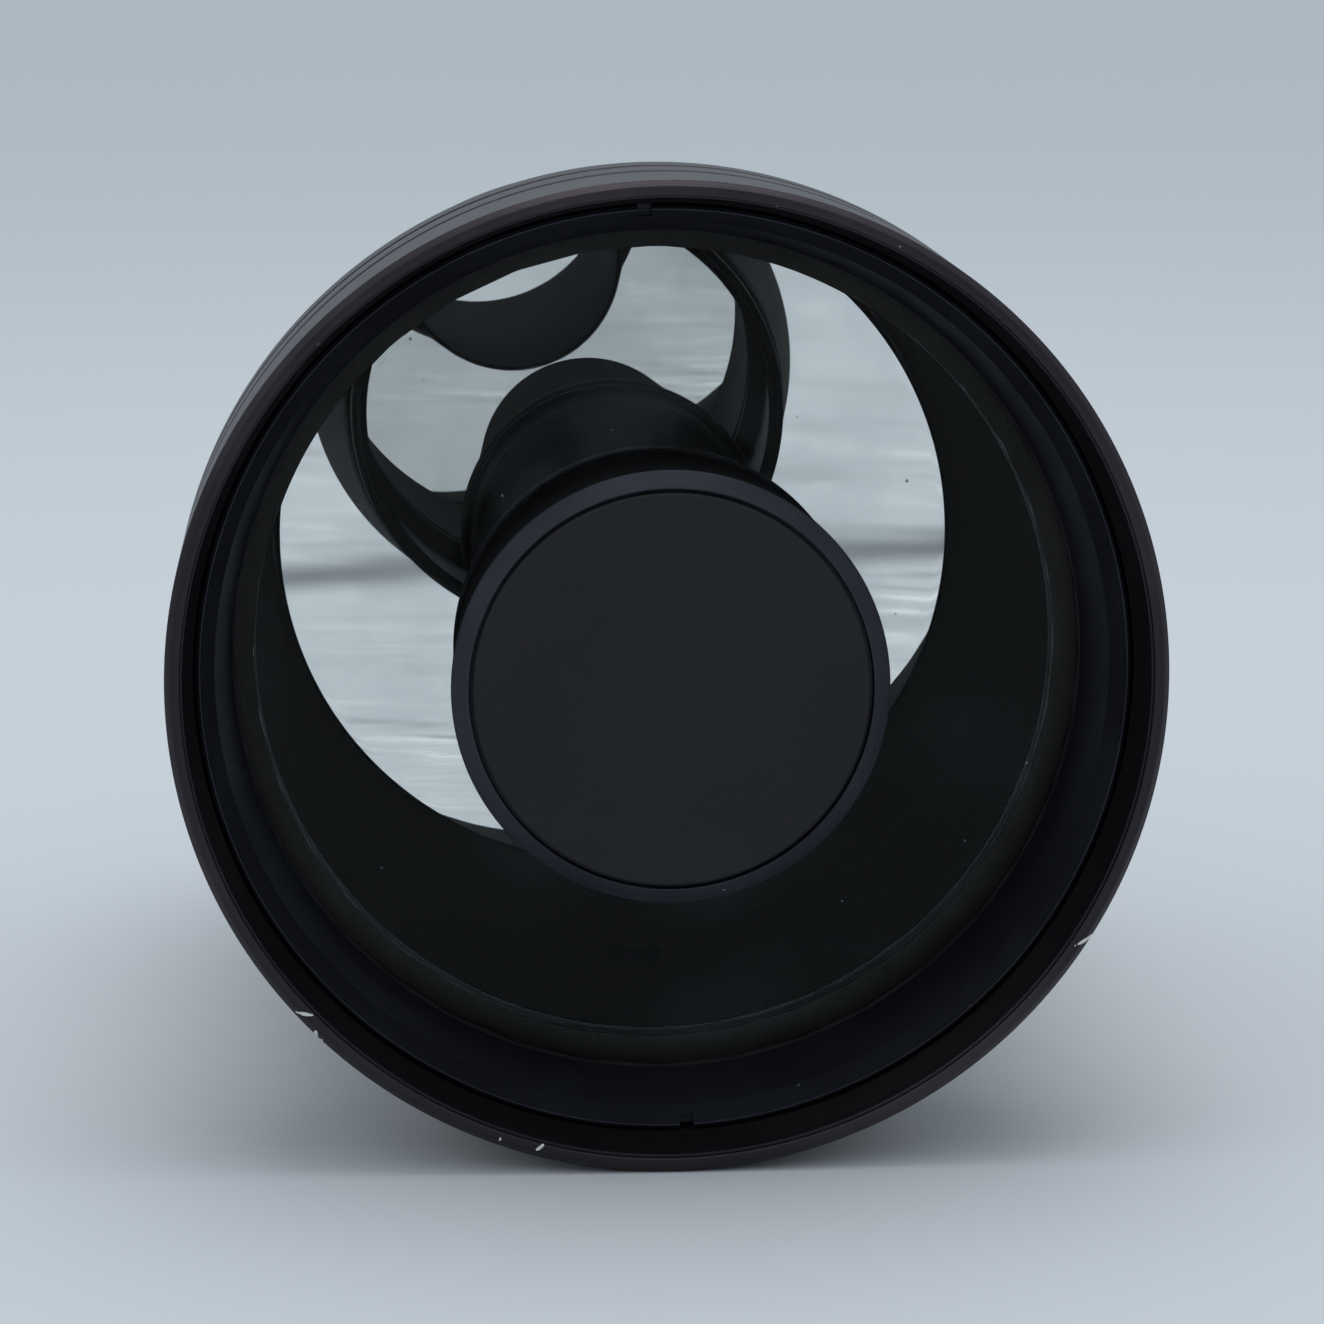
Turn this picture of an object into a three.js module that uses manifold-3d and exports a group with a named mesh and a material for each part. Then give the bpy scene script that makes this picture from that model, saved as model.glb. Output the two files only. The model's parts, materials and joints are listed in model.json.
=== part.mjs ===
// A 90 mm Schmidt-Cassegrain telescope tube, built as it comes apart on a bench.
// Millimetres, +Z up. The optical axis lies along Y and the front opening faces -Y.
// Depth is measured along the axis from the front joint between the corrector's
// retaining ring and the front cell, and grows towards the rear.
import * as THREE from "three";
import { mergeVertices } from "three/addons/utils/BufferGeometryUtils.js";
import Module from "manifold-3d";

const wasm = await Module();
wasm.setup();

// ---------------------------------------------------------------- driving sizes
const gap = 0.3;               // between pieces that touch or are clamped together
const slideGap = 0.1;          // radial running clearance of the sliding mirror and the turning rod

const mirrorRadius = 45.2;     // primary mirror blank
const mirrorCurve = 543.4;     // radius of curvature of its concave face
const mirrorEdge = 9;          // thickness of the blank at its edge
const mirrorBevel = 0.5;
const mirrorRoom = 1.0;        // radial room between the mirror and the tube
const mirrorSpacing = 89;      // corrector's rear face to the mirror's front edge
const focusTravel = 2;         // mirror travel each way from mid focus

const tubeWall = 1.3;
const tubeRear = 8.3;          // how far the tube runs on behind the mirror's back face

const glassOverlap = 2.5;      // corrector's radius beyond the tube's outside
const glassThickness = 4;
const gasketThickness = 0.5;
const ringShoulder = 2.35;     // retaining ring's radius beyond the corrector's pocket
const ringLength = 13.6;       // retaining ring, front to back
const ringFrontWidth = 2.05;   // its sloping front face, measured radially
const ringFrontDrop = 3.1;     // and along the axis
const ringRearWidth = 3.85;    // wall at its rear edge
const ringChamfer = 0.5;       // outer front corner
const ringEntry = 0.9;         // the cell's bore is plain for this far ahead of its thread
const notchWidth = 1.6;        // two spanner notches in the ring's outer front corner
const notchDepth = 2.8;        // along the axis
const notchReach = 1.3;        // inwards from the ring's outside
const notchTurn = 2.6;         // degrees from vertical

const cellWall = 2.95;         // front cell outside the ring's thread
const lipProud = 6.8;          // front cell stands this far ahead of the joint
const lipWall = 1.75;          // flat front face of the cell
const mouthStep = 0.22;        // small step inside the front face
const mouthStepLength = 0.9;
const landLength = 2.2;        // straight land behind that step
const flare = 1.0;             // the bore narrows by this from the land to the joint
const lipRound = 0.7;          // rounded outer front corner
const seatThickness = 2.4;     // shoulder that the corrector is clamped against
const seatOverlap = 0.4;       // shoulder's bore beyond the tube's bore
const ribGroove = 0.5;         // depth of the turned grooves round the cell
const grooveStations = [6.6, 14.9]; // their places along the cell, from the joint
const grooveLength = 2.2;
const collarLength = 8.3;      // rear collar that the tube sits in
const collarWall = 3.8;

const capRadius = 22;          // flat cover disc in the middle of the corrector
const capThickness = 1;
const capBevel = 0.25;
const capGap = 0.4;            // visible ring-shaped gap around it
const housingRim = 1.95;       // front rim of the secondary housing around the gap
const housingRimDrop = 1.4;    // its slope back to the outer edge
const housingRimChamfer = 0.25;
const housingProud = 24.6;     // housing's front stands this far ahead of the corrector
const secondaryStep = 0.9;     // mirror seat's radius below the cover's recess
const secondaryLip = 1.1;      // lip in front of the mirror's edge
const secondaryCurve = 389;    // radius of curvature of the convex secondary
const secondaryThickness = 1.8;
const lipThickness = 1;
const lipFlare = 1.5;          // length of the flare behind that lip
const spigotStep = 0.4;        // rear spigot's bore beyond the mirror seat's radius
const spigotWall = 0.7;        // spigot goes through the corrector
const shoulderWidth = 0.6;     // housing's shoulder on the corrector
const clipLength = 1;

const baffleBore = 17.9;       // straight rear bore of the primary baffle tube
const baffleWall = 0.5;
const baffleLength = 56.5;     // baffle tube's front end, ahead of the mirror's vertex
const baffleFrontRadius = 12.6;
const baffleFlange = 2.2;      // thickness of its rear flange
const baffleFlare = 2.7;       // bore opens out by this at the rear
const baffleFlangeWidth = 4.2; // flange outside the opened bore
const sleeveWall = 0.8;        // carriage sleeve that slides on the baffle tube
const sleeveProud = 7.2;       // sleeve ahead of the mirror's front edge
const sleeveTail = 1.6;        // and behind the carriage flange
const nutWidth = 0.8;
const nutLength = 2.3;
const carriageMargin = 4.9;    // carriage flange outside the focusing rod's centre
const carriageFlange = 3;
const mirrorGasketWidth = 11;

const cellNeck = 2.5;          // wall of the rear cell's neck inside the tube
const floorThickness = 6.5;
const floorRoom = 0.6;         // carriage sleeve to the floor at the end of its travel
const rearLip = 2.5;           // rear cell's rim against the tube's end
const rearTaper = 2;           // rear cell narrows by this to its back face
const neckRoom = 1.8;

const portStep = 1;            // open rear port's bore beyond the baffle tube's mouth
const portWall = 2.8;
const portLength = 7;
const portFlange = 3;
const portFlangeWidth = 4.3;   // flange outside the boss
const portScrewInset = 2.3;    // port screws outside the boss
const portScrews = 3;

const focusRoom = 0.5;         // port flange to the focusing bushing's flange
const rodRadius = 2;
const rodCollar = 3.6;
const rodCollarLength = 1.3;
const focusNutRadius = 3.6;
const focusNutCollar = 5.2;
const focusNutFlange = 1;
const bushingRadius = 4.4;
const bushingFlangeRadius = 7;
const bushingFlange = 1.2;
const washerThickness = 0.6;
const knobRadius = 7;
const knobLength = 13;
const gripWall = 1.4;
const gripLength = 10;
const knobFace = 3;            // metal behind the rod's end
const knobChamfer = 0.8;
const rodRoom = 0.7;           // mirror at the end of its travel to the rod's front end
const washerInset = 0.5;

const footWidth = 30;
const footLength = 48;
const footStart = 30;          // foot's front end behind the corrector's rear face
const footChamfer = 2.5;
const insertRadius = 5.6;
const tripodHoleRadius = 3.2;  // for a 1/4 inch tripod screw
const insertDepth = 7.4;
const footScrewInset = 9;
const footSkin = 3;            // metal left under the foot's screw holes

const coarse = 48;             // facets of the large turned pieces
const middling = 36;
const small = 24;              // of the focusing drive and the tripod insert
const fine = 12;               // of screws
const domeSteps = 5;           // rings across a spherical face
const past = 1;                // a cutter runs this far past what it cuts

// ---------------------------------------------------------------- derived sizes
const tubeBore = mirrorRadius + mirrorRoom;
const tubeRadius = tubeBore + tubeWall;
const glassRadius = tubeRadius + glassOverlap;
const pocketRadius = glassRadius + gap;
const ringRadius = pocketRadius + ringShoulder;
const threadRadius = ringRadius + gap;
const cellRadius = threadRadius + cellWall;
const collarRadius = tubeRadius + gap + collarWall;

const frontGasketAt = ringLength + gap;
const glassFront = frontGasketAt + gasketThickness + gap;
const glassRear = glassFront + glassThickness;
const rearGasketAt = glassRear + gap;
const seatFront = rearGasketAt + gasketThickness + gap;
const seatRear = seatFront + seatThickness;
const tubeFront = seatRear + gap;
const collarEnd = tubeFront + collarLength;

const mirrorFront = glassRear + mirrorSpacing;
const mirrorSag = mirrorCurve - Math.sqrt(mirrorCurve ** 2 - mirrorRadius ** 2);
const mirrorVertex = mirrorFront + mirrorSag;
const mirrorBack = mirrorFront + mirrorEdge;
const mirrorGasketAt = mirrorBack + gap;
const flangeFront = mirrorGasketAt + gasketThickness + gap;
const flangeRear = flangeFront + carriageFlange;
const sleeveFront = mirrorFront - sleeveProud;
const sleeveRear = flangeRear + sleeveTail;
const floorFront = sleeveRear + focusTravel + floorRoom;
const floorRear = floorFront + floorThickness;
const tubeEnd = mirrorBack + tubeRear;
const neckFront = mirrorBack + focusTravel + neckRoom;

const slideRadius = baffleBore + baffleWall;
const sleeveBore = slideRadius + slideGap;
const sleeveRadius = sleeveBore + sleeveWall;
const mirrorHole = sleeveRadius + gap;
const nutRadius = sleeveRadius + gap + nutWidth;
const baffleMouth = baffleBore + baffleFlare;
const baffleFlangeRadius = baffleMouth + baffleFlangeWidth;
const portBore = baffleMouth + portStep;
const portBossRadius = portBore + portWall;
const portFlangeRadius = portBossRadius + portFlangeWidth;
const portScrewCircle = portBossRadius + portScrewInset;
const focusOffset = portFlangeRadius + focusRoom + bushingFlangeRadius;
const carriageRadius = focusOffset + carriageMargin;

const recessRadius = capRadius + capGap;
const housingRadius = recessRadius + housingRim;
const housingFront = glassFront - housingProud;
const shoulderAt = glassFront - gap - gasketThickness - gap;
const seatRadius = recessRadius - secondaryStep;
const spigotBore = seatRadius + spigotStep;
const spigotRadius = spigotBore + spigotWall;
const glassHole = spigotRadius + gap;
const shoulderRadius = glassHole + shoulderWidth;
const secondaryRadius = seatRadius - gap;
const recessFloor = housingFront + capThickness + gap;
const secondaryBack = recessFloor + gap;
const secondaryVertex = secondaryBack + secondaryThickness;
const secondarySag = secondaryCurve - Math.sqrt(secondaryCurve ** 2 - secondaryRadius ** 2);
const secondaryEdge = secondaryVertex - secondarySag;
const lipFront = secondaryVertex + gap;

const knobFront = floorRear + gap + bushingFlange + gap + washerThickness + gap;
const knobRear = knobFront + knobLength;
const rearEnd = knobRear;
const axisHeight = cellRadius;
const middle = (housingFront + rearEnd) / 2;
const footHeight = cellRadius - tubeRadius - gap;
const focusX = -focusOffset;
const focusZ = 0;
const holeSag = mirrorCurve - Math.sqrt(mirrorCurve ** 2 - nutRadius ** 2);
const mirrorVertexAtHole = mirrorVertex - holeSag;

// ---------------------------------------------------------------- finishes
const finishes = {
  fadedBlack: { color: 0x2b282d, roughness: 0.42, metalness: 0.6 },
  blueBlack: { color: 0x1b1d23, roughness: 0.5, metalness: 0.5 },
  flatBlack: { color: 0x17171a, roughness: 0.85, metalness: 0.1 },
  tubePaint: { color: 0x25252a, roughness: 0.6, metalness: 0.1 },
  glass: { color: 0xdfeae6, roughness: 0.03, metalness: 0 },
  silvered: { color: 0xeef1f4, roughness: 0.03, metalness: 1 },
  rubber: { color: 0x1a1a1a, roughness: 0.9, metalness: 0 },
  cork: { color: 0x8a6a46, roughness: 0.95, metalness: 0 },
  steel: { color: 0x9c9ea3, roughness: 0.35, metalness: 1 },
  brass: { color: 0xb39350, roughness: 0.35, metalness: 1 },
  nylon: { color: 0xd8d6cc, roughness: 0.7, metalness: 0 },
};

// ---------------------------------------------------------------- geometry helpers
// Merged, position-only copy of a closed geometry, facing outwards, as a solid.
function solidOf(geometry) {
  const plain = geometry.clone();
  plain.deleteAttribute("normal");
  plain.deleteAttribute("uv");
  const merged = mergeVertices(plain, 1e-4);
  const place = merged.attributes.position;
  const index = merged.index.array;
  const kept = [];
  let volume = 0;
  for (let i = 0; i < index.length; i += 3) {
    const [a, b, c] = [index[i], index[i + 1], index[i + 2]];
    if (a === b || b === c || c === a) continue;
    kept.push(a, b, c);
    const pa = new THREE.Vector3().fromBufferAttribute(place, a);
    const pb = new THREE.Vector3().fromBufferAttribute(place, b);
    const pc = new THREE.Vector3().fromBufferAttribute(place, c);
    volume += pa.dot(pb.cross(pc));
  }
  if (volume < 0) kept.reverse();
  return new wasm.Manifold(new wasm.Mesh({
    numProp: 3,
    vertProperties: new Float32Array(place.array),
    triVerts: new Uint32Array(kept),
  }));
}

function geometryOf(solid) {
  const mesh = solid.getMesh();
  const geometry = new THREE.BufferGeometry();
  geometry.setAttribute("position", new THREE.BufferAttribute(mesh.vertProperties, 3));
  geometry.setIndex(new THREE.BufferAttribute(mesh.triVerts, 1));
  return geometry;
}

// A solid turned about the Y axis. Each point is [radius, depth]; a hollow profile is closed here.
function turn(points, facets = coarse) {
  const profile = points.map(([radius, depth]) => new THREE.Vector2(radius, depth));
  const onAxis = points[0][0] === 0 && points[points.length - 1][0] === 0;
  if (!onAxis) profile.push(profile[0].clone());
  return solidOf(new THREE.LatheGeometry(profile, facets));
}

function tubeBetween(inner, outer, front, rear, facets = coarse) {
  return turn([[inner, front], [outer, front], [outer, rear], [inner, rear]], facets);
}

function rod(radius, front, rear, facets = fine) {
  return turn([[0, front], [radius, front], [radius, rear], [0, rear]], facets);
}

function block(width, length, height) {
  return solidOf(new THREE.BoxGeometry(width, length, height));
}

// Moves a solid by a matrix.
function placed(solid, matrix) {
  const geometry = geometryOf(solid);
  geometry.applyMatrix4(matrix);
  return solidOf(geometry);
}

// Shifts a solid made about the Y axis to another axis parallel to it.
function shifted(solid, x, z) {
  return placed(solid, new THREE.Matrix4().makeTranslation(x, 0, z));
}

// Stands a solid made along +Y on its end, so that its +Y points outwards from the
// axis at an angle in degrees from +X towards +Z, at a depth along the tube.
function radialMatrix(angle, depth) {
  const radians = THREE.MathUtils.degToRad(angle);
  const outward = new THREE.Vector3(Math.cos(radians), 0, Math.sin(radians));
  const along = new THREE.Vector3(0, 1, 0);
  const side = new THREE.Vector3().crossVectors(outward, along);
  const matrix = new THREE.Matrix4().makeBasis(side, outward, along);
  matrix.setPosition(0, depth, 0);
  return matrix;
}

function circlePoints(count, radius, first = 90) {
  return Array.from({ length: count }, (_, i) => {
    const angle = THREE.MathUtils.degToRad(first + (360 / count) * i);
    return [radius * Math.cos(angle), radius * Math.sin(angle)];
  });
}

// Points of a spherical face from the rim to the centre or to a hole's edge.
function domePoints(rim, hole, curve, vertex) {
  return Array.from({ length: domeSteps + 1 }, (_, i) => {
    const radius = rim + ((hole - rim) * i) / domeSteps;
    const sag = curve - Math.sqrt(curve ** 2 - radius ** 2);
    return [radius, vertex - sag];
  });
}

const telescope = new THREE.Group();
telescope.position.set(0, -middle, axisHeight);

function add(name, solid, finish) {
  const mesh = new THREE.Mesh(geometryOf(solid), new THREE.MeshStandardMaterial(finishes[finish]));
  mesh.name = name;
  telescope.add(mesh);
}

// ---------------------------------------------------------------- front cell and corrector
const setScrewAngles = [30, 150, 270];
const setScrewAt = tubeFront + collarLength / 2;
const setScrewRadius = 1.5;

function frontCell() {
  const mouthRadius = cellRadius - lipWall;
  const landRadius = mouthRadius - mouthStep;
  const lipFrontAt = -lipProud;
  const landFront = lipFrontAt + mouthStepLength;
  const outside = [[cellRadius, lipFrontAt + lipRound]];
  for (const station of grooveStations) {
    outside.push(
      [cellRadius, station],
      [cellRadius - ribGroove, station + ribGroove],
      [cellRadius - ribGroove, station + grooveLength - ribGroove],
      [cellRadius, station + grooveLength],
    );
  }
  const cell = turn([
    [mouthRadius, lipFrontAt],
    [cellRadius - lipRound, lipFrontAt],
    ...outside,
    [cellRadius, seatRear + gap],
    [collarRadius, seatRear + gap],
    [collarRadius, collarEnd],
    [tubeRadius + gap, collarEnd],
    [tubeRadius + gap, seatRear],
    [tubeBore + seatOverlap, seatRear],
    [tubeBore + seatOverlap, seatFront],
    [pocketRadius, seatFront],
    [pocketRadius, ringLength + gap],
    [threadRadius, ringLength + gap],
    [threadRadius, ringEntry],
    [landRadius - flare, 0],
    [landRadius, landFront + landLength],
    [landRadius, landFront],
    [mouthRadius, landFront],
  ]);
  const hole = rod(setScrewRadius + slideGap, tubeRadius, collarRadius + past);
  let drilled = cell;
  for (const angle of setScrewAngles) {
    drilled = drilled.subtract(placed(hole, radialMatrix(angle, setScrewAt)));
  }
  return drilled;
}

function retainingRing() {
  const frontBore = ringRadius - ringFrontWidth;
  const rearBore = ringRadius - ringRearWidth;
  const ring = turn([
    [ringRadius - ringChamfer, 0],
    [ringRadius, ringChamfer],
    [ringRadius, ringLength],
    [rearBore, ringLength],
    [frontBore, ringFrontDrop],
  ]);
  const across = block(notchWidth, 2 * notchDepth, 2 * (ringRadius + past));
  const kept = rod(ringRadius - notchReach, -notchDepth - past, notchDepth + past, coarse);
  const lean = new THREE.Matrix4().makeRotationY(THREE.MathUtils.degToRad(-notchTurn));
  return ring.subtract(placed(across.subtract(kept), lean));
}

add("front_cell", frontCell(), "fadedBlack");
add("corrector_retaining_ring", retainingRing(), "blueBlack");
add("corrector_front_gasket",
  tubeBetween(ringRadius - ringRearWidth, glassRadius, frontGasketAt,
    frontGasketAt + gasketThickness, middling), "rubber");
add("corrector_plate", tubeBetween(glassHole, glassRadius, glassFront, glassRear), "glass");
add("corrector_rear_gasket",
  tubeBetween(tubeBore + seatOverlap, glassRadius, rearGasketAt, rearGasketAt + gasketThickness, middling),
  "rubber");

for (const [i, angle] of setScrewAngles.entries()) {
  const screw = rod(setScrewRadius, tubeRadius + gap, collarRadius - gap);
  add(`cell_set_screw_${i + 1}`, placed(screw, radialMatrix(angle, setScrewAt)), "steel");
}

// ---------------------------------------------------------------- secondary unit
function secondaryHousing() {
  return turn([
    [recessRadius, housingFront],
    [housingRadius - housingRimChamfer, housingFront + housingRimDrop],
    [housingRadius, housingFront + housingRimDrop + housingRimChamfer],
    [shoulderRadius, shoulderAt],
    [spigotRadius, shoulderAt],
    [spigotRadius, glassRear + gap + clipLength + gap],
    [spigotBore, glassRear + gap + clipLength + gap],
    [spigotBore, lipFront + lipThickness + lipFlare],
    [secondaryRadius - secondaryLip, lipFront + lipThickness],
    [secondaryRadius - secondaryLip, lipFront],
    [seatRadius, lipFront],
    [seatRadius, recessFloor],
    [recessRadius, recessFloor],
  ]);
}

function secondaryMirror() {
  return turn([
    [0, secondaryBack],
    [secondaryRadius, secondaryBack],
    ...domePoints(secondaryRadius, 0, secondaryCurve, secondaryVertex),
  ], middling);
}

function coverCap() {
  return turn([
    [0, housingFront],
    [capRadius - capBevel, housingFront],
    [capRadius, housingFront + capBevel],
    [capRadius, housingFront + capThickness],
    [0, housingFront + capThickness],
  ]);
}

add("secondary_housing", secondaryHousing(), "blueBlack");
add("secondary_cover_cap", coverCap(), "flatBlack");
add("secondary_mirror", secondaryMirror(), "silvered");
add("secondary_gasket",
  tubeBetween(glassHole, shoulderRadius, shoulderAt + gap,
    shoulderAt + gap + gasketThickness, middling), "rubber");
add("secondary_clip_ring",
  tubeBetween(glassHole, shoulderRadius, glassRear + gap,
    glassRear + gap + clipLength, middling), "flatBlack");

// ---------------------------------------------------------------- main tube and tripod foot
const rearScrewAngles = [45, 135, 225, 315];
const rearScrewAt = (neckFront + tubeEnd) / 2;
const smallScrewRadius = 1.5;
const smallHeadRadius = 2.7;
const smallHeadHeight = 0.9;
const finderStations = [14, 32];        // plug screws from the collar's rear end
const footScrewRadius = 2;
const footHeadRadius = 3.6;
const footHeadHeight = 1.6;
const footFrontAt = glassRear + footStart;
const footScrewStations = [footFrontAt + footScrewInset, footFrontAt + footLength - footScrewInset];
const footMiddle = footFrontAt + footLength / 2;
const footScrewReach = footHeight - footSkin;
const domeShare = 0.35;                // rounded part of a screw head's height
const plugReach = 1;                   // plug screws end this far inside the tube

// Screw with a low round head, along +Y: the head's underside is at `under`, its tip at `tip`.
function screw(bodyRadius, headRadius, headHeight, tip, under) {
  const away = Math.sign(under - tip);
  const dome = domeShare * headHeight;
  return turn([
    [0, tip],
    [bodyRadius, tip],
    [bodyRadius, under],
    [headRadius, under],
    [headRadius, under + away * (headHeight - dome)],
    [headRadius - dome, under + away * headHeight],
    [0, under + away * headHeight],
  ], fine);
}

function mainTube() {
  let tube = tubeBetween(tubeBore, tubeRadius, tubeFront, tubeEnd);
  const smallHole = rod(smallScrewRadius + gap, tubeBore - past, tubeRadius + past);
  const footHole = rod(footScrewRadius + gap, tubeBore - past, tubeRadius + past);
  for (const angle of rearScrewAngles) {
    tube = tube.subtract(placed(smallHole, radialMatrix(angle, rearScrewAt)));
  }
  for (const station of finderStations) {
    tube = tube.subtract(placed(smallHole, radialMatrix(90, collarEnd + station)));
  }
  for (const station of footScrewStations) {
    tube = tube.subtract(placed(footHole, radialMatrix(270, station)));
  }
  return tube;
}

add("main_tube", mainTube(), "tubePaint");
for (const [i, station] of finderStations.entries()) {
  const plug = screw(
    smallScrewRadius, smallHeadRadius, smallHeadHeight,
    tubeBore - plugReach, tubeRadius + gap,
  );
  add(`finder_hole_screw_${i + 1}`, placed(plug, radialMatrix(90, collarEnd + station)), "steel");
}

function tripodFoot() {
  const half = footWidth / 2;
  const outline = new THREE.Shape([
    new THREE.Vector2(-half, -tubeRadius),
    new THREE.Vector2(-half, -cellRadius + footChamfer),
    new THREE.Vector2(-half + footChamfer, -cellRadius),
    new THREE.Vector2(half - footChamfer, -cellRadius),
    new THREE.Vector2(half, -cellRadius + footChamfer),
    new THREE.Vector2(half, -tubeRadius),
    new THREE.Vector2(half - footChamfer, footChamfer - tubeRadius),
    new THREE.Vector2(footChamfer - half, footChamfer - tubeRadius),
  ]);
  const bar = new THREE.ExtrudeGeometry(outline, { depth: footLength, bevelEnabled: false });
  bar.rotateX(Math.PI / 2);
  bar.translate(0, footFrontAt + footLength, 0);
  let foot = solidOf(bar).subtract(
    rod(tubeRadius + gap, footFrontAt - past, footFrontAt + footLength + past, coarse),
  );
  const socket = rod(insertRadius + gap, cellRadius - insertDepth - gap, cellRadius + past, small);
  foot = foot.subtract(placed(socket, radialMatrix(270, footMiddle)));
  const hole = rod(footScrewRadius + gap, tubeRadius - past, tubeRadius + gap + footScrewReach + gap);
  for (const station of footScrewStations) {
    foot = foot.subtract(placed(hole, radialMatrix(270, station)));
  }
  return foot;
}

const insert = tubeBetween(tripodHoleRadius, insertRadius, cellRadius - insertDepth, cellRadius, small);
add("tripod_foot", tripodFoot(), "tubePaint");
add("tripod_insert", placed(insert, radialMatrix(270, footMiddle)), "brass");
for (const [i, station] of footScrewStations.entries()) {
  const bolt = screw(
    footScrewRadius, footHeadRadius, footHeadHeight,
    tubeRadius + gap + footScrewReach, tubeBore - gap,
  );
  add(`foot_screw_${i + 1}`, placed(bolt, radialMatrix(270, station)), "steel");
}

// ---------------------------------------------------------------- primary mirror and its carriage
function primaryMirror() {
  return turn([
    ...domePoints(mirrorRadius - mirrorBevel, mirrorHole, mirrorCurve, mirrorVertex),
    [mirrorHole, mirrorBack],
    [mirrorRadius, mirrorBack],
    [mirrorRadius, mirrorFront + mirrorBevel],
  ]);
}

function mirrorCarriage() {
  const carriage = turn([
    [sleeveBore, sleeveFront],
    [sleeveRadius, sleeveFront],
    [sleeveRadius, flangeFront],
    [carriageRadius, flangeFront],
    [carriageRadius, flangeRear],
    [sleeveRadius, flangeRear],
    [sleeveRadius, sleeveRear],
    [sleeveBore, sleeveRear],
  ]);
  const hole = rod(focusNutRadius + gap, flangeFront - past, flangeRear + past, small);
  return carriage.subtract(shifted(hole, focusX, focusZ));
}

function focusNut() {
  const nut = turn([
    [rodRadius + slideGap, flangeFront],
    [focusNutRadius, flangeFront],
    [focusNutRadius, flangeRear + gap],
    [focusNutCollar, flangeRear + gap],
    [focusNutCollar, flangeRear + gap + focusNutFlange],
    [rodRadius + slideGap, flangeRear + gap + focusNutFlange],
  ], small);
  return shifted(nut, focusX, focusZ);
}

add("primary_mirror", primaryMirror(), "silvered");
add("mirror_gasket",
  tubeBetween(mirrorHole, mirrorHole + mirrorGasketWidth, mirrorGasketAt, mirrorGasketAt + gasketThickness,
    middling), "cork");
add("mirror_carriage", mirrorCarriage(), "flatBlack");
add("mirror_retaining_nut",
  tubeBetween(sleeveRadius + gap, nutRadius, mirrorVertexAtHole - gap - nutLength, mirrorVertexAtHole - gap),
  "flatBlack");
add("focus_nut", focusNut(), "brass");

// ---------------------------------------------------------------- baffle tube and rear cell
const bafflePlate = floorRear - baffleFlange - gap;      // front of the flange in its counterbore
const counterbore = bafflePlate - gap;
const baffleScrewRadius = 1.2;
const baffleScrewHead = 2.1;
const baffleScrewHeadHeight = 1;
const baffleScrews = 3;
const baffleScrewCircle = (baffleMouth + baffleFlangeRadius) / 2;
const screwCover = 1;                  // metal left ahead of a screw's tip
const baffleScrewTip = floorFront + screwCover;
const plateRear = floorRear - gap;
const flareShare = (bafflePlate - floorFront) / (plateRear - floorFront);
const flareOutside = baffleBore + baffleFlare * flareShare + baffleWall; // where it meets the flange

function baffleTube() {
  const front = mirrorVertex - baffleLength;
  const coneEnd = sleeveFront - focusTravel - floorRoom;
  const tube = turn([
    [baffleFrontRadius - baffleWall, front],
    [baffleFrontRadius, front],
    [slideRadius, coneEnd],
    [slideRadius, floorFront],
    [flareOutside, bafflePlate],
    [baffleFlangeRadius, bafflePlate],
    [baffleFlangeRadius, plateRear],
    [baffleMouth, plateRear],
    [baffleBore, floorFront],
    [baffleBore, mirrorFront],
  ]);
  const hole = rod(baffleScrewRadius + gap, bafflePlate - past, plateRear + past);
  const sink = rod(baffleScrewHead + gap, plateRear - baffleScrewHeadHeight - gap, plateRear + past);
  let drilled = tube;
  for (const [x, z] of circlePoints(baffleScrews, baffleScrewCircle)) {
    drilled = drilled.subtract(shifted(hole, x, z)).subtract(shifted(sink, x, z));
  }
  return drilled;
}

function rearCell() {
  const neckRadius = tubeBore - gap;
  const rimFront = tubeEnd + gap;
  const body = turn([
    [neckRadius - cellNeck, neckFront],
    [neckRadius, neckFront],
    [neckRadius, rimFront],
    [tubeRadius, rimFront],
    [tubeRadius, rimFront + rearLip],
    [tubeRadius - rearTaper, floorRear],
    [baffleFlangeRadius + gap, floorRear],
    [baffleFlangeRadius + gap, counterbore],
    [flareOutside + gap, counterbore],
    [slideRadius + gap, floorFront],
    [neckRadius - cellNeck, floorFront],
  ]);
  const rodHole = rod(bushingRadius + gap, floorFront - past, floorRear + past, small);
  let cell = body.subtract(shifted(rodHole, focusX, focusZ));
  const tapped = rod(smallScrewRadius + gap, neckRadius - cellNeck - past, neckRadius + past);
  const baffleHole = rod(baffleScrewRadius + gap, floorFront - past, floorRear + past);
  const portHole = rod(portScrewRadius + gap, portScrewTip - gap, floorRear + past);
  for (const angle of rearScrewAngles) {
    cell = cell.subtract(placed(tapped, radialMatrix(angle, rearScrewAt)));
  }
  for (const [x, z] of circlePoints(baffleScrews, baffleScrewCircle)) {
    cell = cell.subtract(shifted(baffleHole, x, z));
  }
  for (const [x, z] of circlePoints(portScrews, portScrewCircle, portScrewsFrom)) {
    cell = cell.subtract(shifted(portHole, x, z));
  }
  return cell;
}

const portFront = floorRear + gap;
const portScrewsFrom = 270;            // first port screw's angle in degrees
const portScrewRadius = 1;
const portScrewHead = 1.7;
const portScrewHeadHeight = 0.9;
const portScrewReach = 4;
const portScrewTip = portFront - portScrewReach;

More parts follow.
